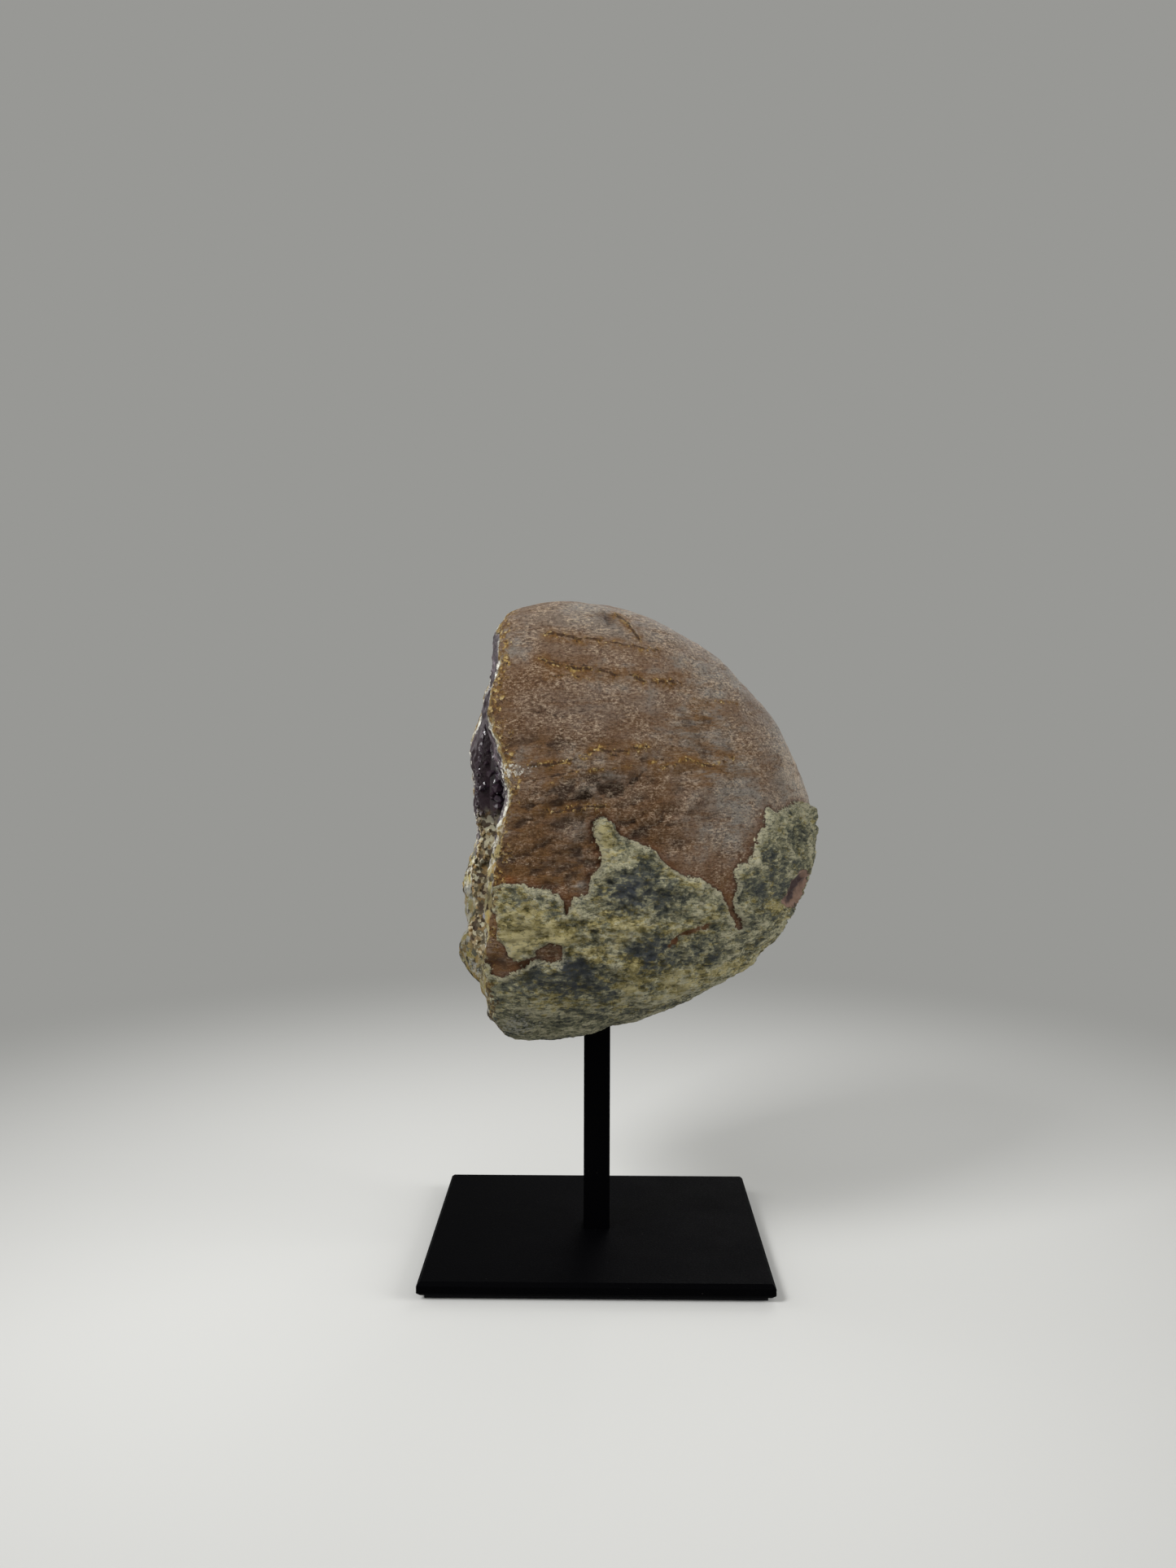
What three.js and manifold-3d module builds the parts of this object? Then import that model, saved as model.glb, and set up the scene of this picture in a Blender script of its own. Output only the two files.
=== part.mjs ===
// An agate geode on a metal stand: one half of a stone nodule, broken open to the front
// and lined with crystals, glued on a square post that is screwed to a flat base.
// Millimetres, +Z up. The origin is under the middle of the base, on the table.
// The open face looks towards -Y, turned a little towards +X.

import * as THREE from "three";
import { mergeVertices } from "three/addons/utils/BufferGeometryUtils.js";
import Module from "manifold-3d";

const wasm = await Module();
wasm.setup();

const GAP = 0.3; // between pieces that touch on a curved or cut surface

// The stand
const FELT_THICKNESS = 1.2;
const FELT_INSET = 2;
const BASE_LENGTH = 100; // along Y
const BASE_DEPTH = 80; // along X
const BASE_THICKNESS = 4;
const BASE_BEVEL = 1;
const BASE_TOP = FELT_THICKNESS + BASE_THICKNESS;
const POST_WIDTH = 8;
const POST_BEVEL = 0.5;
const POST_TOP = 88;
const TAP_RADIUS = 2.1;
const TAP_DEPTH = 14;
const SCREW_RADIUS = 1.8;
const SCREW_HEAD_RADIUS = 4;
const SCREW_HEAD_HEIGHT = 2.2;
const SCREW_KEY_WIDTH = 2.5;
const SCREW_KEY_DEPTH = 1.4;
const SCREW_REACH = 10; // above the base
const ROUND_SEGMENTS = 20;

// The drilled hole under the stone and the glue in it
const SOCKET_RADIUS = 6.5;
const SOCKET_TOP = 90;
const SOCKET_MOUTH_RADIUS = 9.5;
const SOCKET_MOUTH_TOP = 71;
const SOCKET_MOUTH_BOTTOM = 65;
const GLUE_FOOT = 68.2;

// The nodule, before it was broken: its middle, its half width, and the radii of its
// side outline, one every 20 degrees, from straight forwards, under it, to the back and over
const NODULE_Y = -8;
const NODULE_Z = 123;
const NODULE_HALF_WIDTH = 48;
const NODULE_FULLNESS = 2.3; // 2 is an ellipse across, more is squarer
const OUTLINE_RADII = [
  60, 60, 61, 62, 58.4, 56, 57.3, 61.4, 69, 75.5, 74.8, 72.8, 73.6, 75.2, 74.4, 71, 66, 62,
];
const OUTLINE_STEP = THREE.MathUtils.degToRad(20);

// The broken face
const FACE_TURN = THREE.MathUtils.degToRad(10.7);
const FACE_REACH = 26; // from the nodule's middle
const RIM_SHARE = 0.8; // of the face's radius at which the hollow starts
const HOLLOW_DEPTH = 40;
const HOLLOW_RISE = 3; // of the hollow's middle over the nodule's
const LIP_SHARPNESS = 12; // how soon the hollow's wall loses the lumps of its lip

// Bulges and notches of the rim: its angle round the face, its spread, and how far forward
const DEG = Math.PI / 180;
const RIM_LUMPS = [
  { angle: 95 * DEG, spread: 0.5, height: -6.5 },
  { angle: 126 * DEG, spread: 0.28, height: -4 },
  { angle: 160 * DEG, spread: 0.25, height: 1.2 },
  { angle: 180 * DEG, spread: 0.1, height: -1.6 },
  { angle: 200 * DEG, spread: 0.18, height: 3.8 },
  { angle: 225 * DEG, spread: 0.16, height: 6 },
  { angle: -90 * DEG, spread: 0.45, height: -8 },
  { angle: -36 * DEG, spread: 0.35, height: 3.8 },
  { angle: 19 * DEG, spread: 0.13, height: -2.2 },
  { angle: 38 * DEG, spread: 0.16, height: 2 },
];

// The stone's skin
const STONE_GRID = 20; // squares along each side of the cube that the stone is shaped from
const SIDE_SHARE = 0.62; // of the way from the rim to the back that the cube's sides cover
const RIND_HEIGHT = 1; // of the green rind over the brown skin

// The rind's upper edge, as angles round the stone from its near side and heights
const RIND_EDGE = [
  [-180, 108],
  [-150, 96],
  [-120, 110],
  [-95, 103],
  [-62, 112],
  [-45, 112],
  [-26, 110],
  [-14, 106],
  [-4, 113],
  [0, 131],
  [10, 126],
  [22, 116],
  [32, 111],
  [40, 112],
  [48, 122],
  [58, 133],
  [72, 137],
  [95, 128],
  [120, 112],
  [150, 118],
  [180, 108],
];

// The crust of crystals
const CRUST_GRID = 8;
const CRUST_GAP = 0.9; // flat facets of the crust stay clear of the hollow's wall
const CRUST_THICKNESS = 3;
const CRUST_EDGE = 0.93; // of the way up the hollow's wall
const CRYSTAL_COUNT = 84;
const CRYSTAL_SPREAD = 0.86; // of the hollow's wall that has points, the rest is its lip
const CRYSTAL_RADIUS = 6;
const CRYSTAL_SLENDERNESS = 1.35;
const CRYSTAL_LEAN = 0.22;
const CRYSTAL_SIDES = 6;
const GOLDEN_ANGLE = Math.PI * (3 - Math.sqrt(5));

const SIDEWAYS = new THREE.Vector3(Math.cos(FACE_TURN), Math.sin(FACE_TURN), 0);
const FORWARDS = new THREE.Vector3(Math.sin(FACE_TURN), -Math.cos(FACE_TURN), 0);
const UPWARDS = new THREE.Vector3(0, 0, 1);
const NODULE_CENTRE = new THREE.Vector3(0, NODULE_Y, NODULE_Z);

function solidFrom(geometry) {
  const bare = geometry.index ? geometry.toNonIndexed() : geometry.clone();
  bare.deleteAttribute("normal");
  bare.deleteAttribute("uv");
  const merged = mergeVertices(bare, 1e-4);
  return new wasm.Manifold(
    new wasm.Mesh({
      numProp: 3,
      vertProperties: new Float32Array(merged.attributes.position.array),
      triVerts: new Uint32Array(merged.index.array),
    }),
  );
}

function geometryFrom(solid) {
  const mesh = solid.getMesh();
  const geometry = new THREE.BufferGeometry();
  geometry.setAttribute("position", new THREE.BufferAttribute(mesh.vertProperties, 3));
  geometry.setIndex(new THREE.BufferAttribute(mesh.triVerts, 1));
  geometry.computeVertexNormals();
  return geometry;
}

// The outer skin of a solid, without loose crumbs and without pockets sealed inside it
function largestBody(solid) {
  return solid.decompose().reduce((most, body) => (body.volume() > most.volume() ? body : most));
}

function namedMesh(name, geometry, color, roughness, metalness) {
  const material = new THREE.MeshStandardMaterial({ color, roughness, metalness });
  const mesh = new THREE.Mesh(geometry, material);
  mesh.name = name;
  return mesh;
}

// A lathe turned round Z from [radius, height] points
function turned(profile, segments) {
  const points = profile.map(([radius, height]) => new THREE.Vector2(radius, height));
  return new THREE.LatheGeometry(points, segments).rotateX(Math.PI / 2);
}

// A square prism along Z with its four long edges cut off
function bevelledBar(width, bevel, bottom, top) {
  const half = width / 2;
  const short = half - bevel;
  const outline = [
    [half, -short], [half, short], [short, half], [-short, half],
    [-half, short], [-half, -short], [-short, -half], [short, -half],
  ];
  const shape = new THREE.Shape(outline.map(([x, y]) => new THREE.Vector2(x, y)));
  const options = { depth: top - bottom, bevelEnabled: false };
  return new THREE.ExtrudeGeometry(shape, options).translate(0, 0, bottom);
}

// A smooth curve through evenly spaced values that repeat
function throughValues(values, place) {
  const index = Math.floor(place);
  const share = place - index;
  const pick = (offset) => values[(((index + offset) % values.length) + values.length) % values.length];
  const [before, from, to, after] = [pick(-1), pick(0), pick(1), pick(2)];
  const slope = (to - before) / 2;
  const nextSlope = (after - from) / 2;
  const bend = 3 * (to - from) - 2 * slope - nextSlope;
  const twist = 2 * (from - to) + slope + nextSlope;
  return from + share * (slope + share * (bend + share * twist));
}

// How far the side outline lies from the nodule's middle, at an angle up from the back
function outlineRadius(angle) {
  return throughValues(OUTLINE_RADII, (angle + Math.PI) / OUTLINE_STEP);
}

function angleBetween(a, b) {
  return Math.abs(Math.atan2(Math.sin(a - b), Math.cos(a - b)));
}

function rimReach(angle) {
  const bell = ({ angle: at, spread, height }) =>
    height * Math.exp(-((angleBetween(angle, at) / spread) ** 2));
  return RIM_LUMPS.reduce((reach, lump) => reach + bell(lump), FACE_REACH);
}

// A point of the nodule, by the angle round the face and the angle away from the back
function nodulePoint(angle, polar) {
  const across = Math.sin(polar) * Math.cos(angle);
  const up = Math.sin(polar) * Math.sin(angle);
  const back = Math.cos(polar);
  const plane = Math.hypot(up, back);
  const full = (Math.abs(across) ** NODULE_FULLNESS + plane ** NODULE_FULLNESS) ** (-1 / NODULE_FULLNESS);
  const radius = outlineRadius(Math.atan2(up, back)) * full;
  return NODULE_CENTRE.clone()
    .addScaledVector(SIDEWAYS, NODULE_HALF_WIDTH * full * across)
    .addScaledVector(FORWARDS, -radius * back)
    .addScaledVector(UPWARDS, radius * up);
}

// The angle away from the back at which the nodule meets its broken face
function rimPolar(angle) {
  let low = Math.PI / 2;
  let high = Math.PI;
  for (let step = 0; step < 24; step += 1) {
    const middle = (low + high) / 2;
    const reach = nodulePoint(angle, middle).sub(NODULE_CENTRE).dot(FORWARDS);
    if (reach < rimReach(angle)) low = middle;
    else high = middle;
  }
  return low;
}

// Broad swells of the skin
function swell(point) {
  const wide = Math.sin(point.x / 15 + 0.6) * Math.sin(point.y / 19 + 1.2) * Math.sin(point.z / 17);
  const fine = Math.sin(point.x / 6 + point.z / 9) * Math.sin(point.y / 7 - point.z / 11);
  return 0.9 * wide + 0.35 * fine;
}

function rindEdgeHeight(point) {
  const around = Math.atan2(point.y - NODULE_Y, point.x) / DEG;
  const next = Math.max(1, RIND_EDGE.findIndex(([angle]) => angle >= around));
  const [fromAngle, fromHeight] = RIND_EDGE[next - 1];
  const [toAngle, toHeight] = RIND_EDGE[next];
  return THREE.MathUtils.lerp(fromHeight, toHeight, (around - fromAngle) / (toAngle - fromAngle));
}

// The green rind stands a little proud of the brown skin, up to its ragged edge
function rindLift(point) {
  const below = rindEdgeHeight(point) - point.z;
  return RIND_HEIGHT * THREE.MathUtils.smoothstep(below, -1, 1);
}

function skinPoint(angle, share) {
  const point = nodulePoint(angle, rimPolar(angle) * (1 - share));
  const outwards = point.clone().sub(NODULE_CENTRE).normalize();
  const fade = THREE.MathUtils.smoothstep(share, 0, 0.06);
  return point.addScaledVector(outwards, (swell(point) + rindLift(point)) * fade - RIND_HEIGHT);
}

// A square turned into a disc: its distance from the middle and its angle
function discFromSquare(a, b) {
  const distance = Math.max(Math.abs(a), Math.abs(b));
  if (distance === 0) return { distance, angle: 0 };
  const quarter = Math.PI / 4;
  if (Math.abs(a) >= Math.abs(b)) {
    return { distance, angle: quarter * (b / a) + (a < 0 ? Math.PI : 0) };
  }
  return { distance, angle: 2 * quarter - quarter * (a / b) + (b < 0 ? Math.PI : 0) };
}

const HOLLOW_CENTRE = NODULE_CENTRE.clone()
  .addScaledVector(FORWARDS, FACE_REACH)
  .addScaledVector(UPWARDS, HOLLOW_RISE);

function lipPoint(angle) {
  const rim = skinPoint(angle, 0);
  const share = RIM_SHARE + 0.02 * Math.sin(3 * angle + 1) + 0.015 * Math.sin(7 * angle);
  return HOLLOW_CENTRE.clone().lerp(rim, share);
}

// The hollow's wall, drawn in by an inset: share 0 is its deepest point, 1 is its uneven lip
function hollowPoint(angle, share, inset) {
  const lip = lipPoint(angle).sub(HOLLOW_CENTRE);
  const lift = lip.dot(FORWARDS);
  const spoke = lip.addScaledVector(FORWARDS, -lift);
  const turn = (share * Math.PI) / 2;
  const depth = (HOLLOW_DEPTH - inset) * Math.cos(turn);
  return HOLLOW_CENTRE.clone()
    .addScaledVector(spoke, Math.sin(turn) * (1 - inset / spoke.length()))
    .addScaledVector(FORWARDS, lift * share ** LIP_SHARPNESS - depth);
}

function rimBandPoint(angle, share) {
  const point = lipPoint(angle).lerp(skinPoint(angle, 0), share);
  const hump = Math.sin(share * Math.PI) * (0.8 + 0.7 * Math.sin(9 * angle) * Math.sin(4 * angle));
  return point.addScaledVector(FORWARDS, hump);
}

// Where a point of the cube's surface ends up on the stone
function stonePoint(x, y, z) {
  const { distance, angle } = discFromSquare(x, z);
  if (y <= -1 + 1e-6) {
    if (distance <= RIM_SHARE) return hollowPoint(angle, distance / RIM_SHARE, 0);
    return rimBandPoint(angle, (distance - RIM_SHARE) / (1 - RIM_SHARE));
  }
  if (y >= 1 - 1e-6) return skinPoint(angle, 1 - distance * (1 - SIDE_SHARE));
  return skinPoint(angle, (SIDE_SHARE * (y + 1)) / 2);
}

function reshaped(geometry, place) {
  const position = geometry.attributes.position;
  for (let i = 0; i < position.count; i += 1) {
    const point = place(position.getX(i), position.getY(i), position.getZ(i));
    position.setXYZ(i, point.x, point.y, point.z);
  }
  return geometry;
}

function makeStone() {
  const cube = new THREE.BoxGeometry(2, 2, 2, STONE_GRID, STONE_GRID, STONE_GRID);
  const stone = solidFrom(reshaped(cube, stonePoint));
  const socket = turned(
    [
      [0, SOCKET_MOUTH_BOTTOM - 10],
      [SOCKET_MOUTH_RADIUS, SOCKET_MOUTH_BOTTOM - 10],
      [SOCKET_MOUTH_RADIUS, SOCKET_MOUTH_BOTTOM],
      [SOCKET_RADIUS, SOCKET_MOUTH_TOP],
      [SOCKET_RADIUS, SOCKET_TOP],
      [0, SOCKET_TOP],
    ],
    ROUND_SEGMENTS,
  );
  return geometryFrom(stone.subtract(solidFrom(socket)));
}

// A six-sided point of quartz, its foot sunk in the shell under it
function placeCrystal(index) {
  const wobble = Math.sin(index * 12.9) * Math.cos(index * 4.1);
  const radius = CRYSTAL_RADIUS * (1 + 0.3 * wobble);
  const height = radius * CRYSTAL_SLENDERNESS;
  const turn = Math.acos(1 - (CRYSTAL_SPREAD * (index + 0.5)) / CRYSTAL_COUNT);
  const angle = index * GOLDEN_ANGLE;
  const foot = hollowPoint(angle, turn / (Math.PI / 2), CRUST_GAP + CRUST_THICKNESS);
  const lip = lipPoint(angle).sub(HOLLOW_CENTRE).normalize();
  const inwards = FORWARDS.clone()
    .multiplyScalar(Math.cos(turn) + CRYSTAL_LEAN)
    .addScaledVector(lip, -Math.sin(turn))
    .addScaledVector(SIDEWAYS, CRYSTAL_LEAN * Math.sin(index * 7.3))
    .addScaledVector(UPWARDS, CRYSTAL_LEAN * Math.sin(index * 5.7))
    .normalize();
  const spin = new THREE.Quaternion().setFromAxisAngle(UPWARDS, index);
  const lean = new THREE.Quaternion().setFromUnitVectors(UPWARDS, inwards);
  return new THREE.ConeGeometry(radius, height, CRYSTAL_SIDES)
    .rotateX(Math.PI / 2)
    .translate(0, 0, height / 2 - CRUST_THICKNESS / 2)
    .applyQuaternion(lean.multiply(spin))
    .translate(foot.x, foot.y, foot.z);
}

// A closed bowl-shaped lump that fills the hollow, drawn in from its wall by an inset
function hollowFilling(inset, bulge) {
  const slab = new THREE.BoxGeometry(2, 2, 2, CRUST_GRID, 1, CRUST_GRID);
  const place = (x, y, z) => {
    const { distance, angle } = discFromSquare(x, z);
    if (y > 0) return hollowPoint(angle, distance * CRUST_EDGE, inset);
    const edge = hollowPoint(angle, CRUST_EDGE, inset);
    return HOLLOW_CENTRE.clone().lerp(edge, distance).addScaledVector(FORWARDS, bulge * (1 - distance));
  };
  return solidFrom(reshaped(slab, place));
}

function makeCrust() {
  const filling = hollowFilling(CRUST_GAP, 0);
  const cavity = hollowFilling(CRUST_GAP + CRUST_THICKNESS, CRUST_THICKNESS);
  const crystals = Array.from({ length: CRYSTAL_COUNT }, (_, index) => solidFrom(placeCrystal(index)));
  const shell = filling.subtract(cavity);
  const grown = wasm.Manifold.union([shell, ...crystals]).intersect(filling);
  return geometryFrom(largestBody(grown));
}

function makeGlue() {
  const radius = SOCKET_RADIUS - GAP;
  const plug = turned(
    [
      [0, GLUE_FOOT],
      [POST_WIDTH / 2 + 1, GLUE_FOOT],
      [radius, SOCKET_MOUTH_TOP - 1],
      [radius, SOCKET_TOP - GAP],
      [0, SOCKET_TOP - GAP],
    ],
    ROUND_SEGMENTS,
  );
  const bar = bevelledBar(POST_WIDTH + 2 * GAP, POST_BEVEL, GLUE_FOOT - 1, POST_TOP + GAP);
  return geometryFrom(solidFrom(plug).subtract(solidFrom(bar)));
}

function makePost() {
  const bar = bevelledBar(POST_WIDTH, POST_BEVEL, BASE_TOP, POST_TOP);
  const tap = turned(
    [
      [0, BASE_TOP - 1],
      [TAP_RADIUS, BASE_TOP - 1],
      [TAP_RADIUS, BASE_TOP + TAP_DEPTH],
      [0, BASE_TOP + TAP_DEPTH + TAP_RADIUS],
    ],
    ROUND_SEGMENTS,
  );
  return geometryFrom(solidFrom(bar).subtract(solidFrom(tap)));
}

function makeBase() {
  const halfDepth = BASE_DEPTH / 2 - BASE_BEVEL;
  const halfLength = BASE_LENGTH / 2 - BASE_BEVEL;
  const shape = new THREE.Shape([
    new THREE.Vector2(-halfDepth, -halfLength),
    new THREE.Vector2(halfDepth, -halfLength),
    new THREE.Vector2(halfDepth, halfLength),
    new THREE.Vector2(-halfDepth, halfLength),
  ]);
  const plate = new THREE.ExtrudeGeometry(shape, {
    depth: BASE_THICKNESS - 2 * BASE_BEVEL,
    bevelThickness: BASE_BEVEL,
    bevelSize: BASE_BEVEL,
    bevelSegments: 1,
  }).translate(0, 0, FELT_THICKNESS + BASE_BEVEL);
  const sink = turned(
    [
      [0, FELT_THICKNESS - 1],
      [SCREW_HEAD_RADIUS + GAP, FELT_THICKNESS - 1],
      [SCREW_HEAD_RADIUS + GAP, FELT_THICKNESS + GAP],
      [SCREW_RADIUS + GAP, FELT_THICKNESS + SCREW_HEAD_HEIGHT + GAP],
      [SCREW_RADIUS + GAP, BASE_TOP + 1],
      [0, BASE_TOP + 1],
    ],
    ROUND_SEGMENTS,
  );
  return geometryFrom(solidFrom(plate).subtract(solidFrom(sink)));
}

function makeScrew() {
  const body = turned(
    [
      [0, FELT_THICKNESS],
      [SCREW_HEAD_RADIUS, FELT_THICKNESS],
      [SCREW_RADIUS, FELT_THICKNESS + SCREW_HEAD_HEIGHT],
      [SCREW_RADIUS, BASE_TOP + SCREW_REACH],
      [0, BASE_TOP + SCREW_REACH],
    ],
    ROUND_SEGMENTS,
  );
  const key = turned(
    [
      [0, FELT_THICKNESS - 1],
      [SCREW_KEY_WIDTH / 2, FELT_THICKNESS - 1],
      [SCREW_KEY_WIDTH / 2, FELT_THICKNESS + SCREW_KEY_DEPTH],
      [0, FELT_THICKNESS + SCREW_KEY_DEPTH],
    ],
    CRYSTAL_SIDES,
  );
  return geometryFrom(solidFrom(body).subtract(solidFrom(key)));
}

function makeFelt() {
  const depth = BASE_DEPTH - 2 * FELT_INSET;
  const length = BASE_LENGTH - 2 * FELT_INSET;
  return new THREE.BoxGeometry(depth, length, FELT_THICKNESS).translate(0, 0, FELT_THICKNESS / 2);
}

const geode = new THREE.Group();
geode.add(
  namedMesh("geode_stone", makeStone(), 0x73624f, 0.75, 0),
  namedMesh("crystal_crust", makeCrust(), 0x3b2c48, 0.15, 0),
  namedMesh("glue_bead", makeGlue(), 0x32322d, 0.6, 0),
  namedMesh("post", makePost(), 0x080809, 0.45, 0.2),
  namedMesh("base_plate", makeBase(), 0x08080a, 0.4, 0.2),
  namedMesh("base_screw", makeScrew(), 0x9a9a98, 0.35, 1),
  namedMesh("base_felt", makeFelt(), 0x101012, 0.95, 0),
);

export default geode;
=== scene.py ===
"""Dress an agate geode on its stand.

The stone is one broken half of a nodule: brown chalcedony skin, a green rind that grew
over its lower part, a banded rim and a hollow lined with quartz points. It is glued on a
square post over a flat plate. Metres, +Z up, with the open face towards -Y.
"""

import logging
import math
from dataclasses import dataclass
from enum import Enum
from functools import cached_property
from itertools import product
from typing import Optional, Sequence, Union

import bmesh
import bpy
import numpy as np
from mathutils import Matrix, Vector


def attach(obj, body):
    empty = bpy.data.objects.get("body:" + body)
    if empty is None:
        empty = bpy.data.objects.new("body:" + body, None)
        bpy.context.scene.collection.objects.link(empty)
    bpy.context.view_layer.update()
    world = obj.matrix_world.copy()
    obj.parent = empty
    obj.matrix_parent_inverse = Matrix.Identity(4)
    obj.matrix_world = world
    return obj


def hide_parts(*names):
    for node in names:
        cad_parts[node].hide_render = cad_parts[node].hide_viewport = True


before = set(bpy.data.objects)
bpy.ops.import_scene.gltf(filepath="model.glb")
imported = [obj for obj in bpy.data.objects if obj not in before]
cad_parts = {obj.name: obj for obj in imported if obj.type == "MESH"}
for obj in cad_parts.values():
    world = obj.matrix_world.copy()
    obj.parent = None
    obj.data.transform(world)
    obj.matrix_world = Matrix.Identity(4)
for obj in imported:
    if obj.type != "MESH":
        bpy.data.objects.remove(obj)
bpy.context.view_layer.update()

log = logging.getLogger("geode")

MM = 0.001
BODY = "root"

Array = np.ndarray
Point = tuple[float, float]
Triple = tuple[float, float, float]
Colour = tuple[float, float, float, float]
Socket = bpy.types.NodeSocket
Sockets = bpy.types.bpy_prop_collection
Feed = Union[Socket, float, tuple]


# Numbers and colours


def smooth_step(value: Array, low: float, high: float) -> Array:
    """Rise smoothly from 0 at low to 1 at high."""
    share = np.clip((value - low) / (high - low), 0.0, 1.0)
    return share * share * (3.0 - 2.0 * share)


def bell(distance: Array, width: float) -> Array:
    """Fall off smoothly from 1, to about a third at one width."""
    return np.exp(-((distance / width) ** 2))


def tone(red: int, green: int, blue: int) -> Colour:
    """Turn a screen colour of 0 to 255 into the linear colour of a shader."""
    parts = [part / 255 for part in (red, green, blue)]
    linear = [p / 12.92 if p <= 0.04045 else ((p + 0.055) / 1.055) ** 2.4 for p in parts]
    return (linear[0], linear[1], linear[2], 1.0)


NOISE_TABLE = 256
NOISE_SOURCE = np.random.default_rng(7)
NOISE_ORDER = NOISE_SOURCE.permutation(NOISE_TABLE)
NOISE_SLOPES = NOISE_SOURCE.normal(size=(NOISE_TABLE, 3))
NOISE_SLOPES /= np.linalg.norm(NOISE_SLOPES, axis=1)[:, None]


def ripple(places: Array) -> Array:
    """Measure smooth noise with cells of width 1, about -0.7 to 0.7."""
    cell = np.floor(places).astype(int)
    inside = places - cell
    ease = inside**3 * (inside * (inside * 6 - 15) + 10)
    total = np.zeros(len(places))
    for corner in product((0, 1), repeat=3):
        index = np.zeros(len(places), dtype=int)
        for axis in range(3):
            index = NOISE_ORDER[(index + cell[:, axis] + corner[axis]) % NOISE_TABLE]
        weight = np.prod(np.where(corner, ease, 1 - ease), axis=1)
        total += weight * np.sum(NOISE_SLOPES[index] * (inside - corner), axis=1)
    return total


def clouds(points: Array, size: Union[float, tuple], octaves: int = 4, seed: float = 0.0) -> Array:
    """Measure cloudy noise at points.

    Args:
        points: Places in millimetres, one row each.
        size: How wide the largest clouds are, in millimetres, along each axis or all.
        octaves: How many finer layers are added up.
        seed: A shift that makes one field unlike another.

    Returns:
        One value a point, about -1 to 1.
    """
    places = points / np.asarray(size) + seed
    layers = [ripple(places * 2**octave + seed * octave) / 2**octave for octave in range(octaves)]
    return 1.6 * np.sum(layers, axis=0)


def ridges(points: Array, size: Union[float, tuple], octaves: int = 3, seed: float = 0.0) -> Array:
    """Turn cloudy noise into sharp crests, 0 to 1, with the crests at 1."""
    return 1.0 - np.clip(np.abs(clouds(points, size, octaves, seed)) * 2.2, 0.0, 1.0)


def distance_to_line(points: Array, line: Sequence[Point]) -> Array:
    """Measure how far each chart point lies from a broken line."""
    ends = np.array(line, dtype=float)
    nearest = np.full(len(points), np.inf)
    for start, end in zip(ends[:-1], ends[1:]):
        along = end - start
        share = np.clip((points - start) @ along / (along @ along), 0.0, 1.0)
        gap = np.linalg.norm(points - start - share[:, None] * along, axis=1)
        nearest = np.minimum(nearest, gap)
    return nearest


def depth_inside(points: Array, outline: Sequence[Point]) -> Array:
    """Measure how deep each chart point lies inside a closed outline.

    Args:
        points: Chart points, one row each.
        outline: The outline's corners in order.

    Returns:
        The distance to the outline, negative outside it.
    """
    closed = [*outline, outline[0]]
    across, height = points[:, 0], points[:, 1]
    inside = np.zeros(len(points), dtype=bool)
    for (start, low), (end, high) in zip(closed[:-1], closed[1:]):
        if low == high:
            continue
        crosses = (low > height) != (high > height)
        inside ^= crosses & (across < start + (end - start) * (height - low) / (high - low))
    distance = distance_to_line(points, closed)
    return np.where(inside, distance, -distance)


# The form of the nodule


@dataclass(frozen=True)
class Lump:
    """A bulge or notch of the rim: its angle round the face, its spread and its height."""

    angle: float
    spread: float
    height: float


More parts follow.
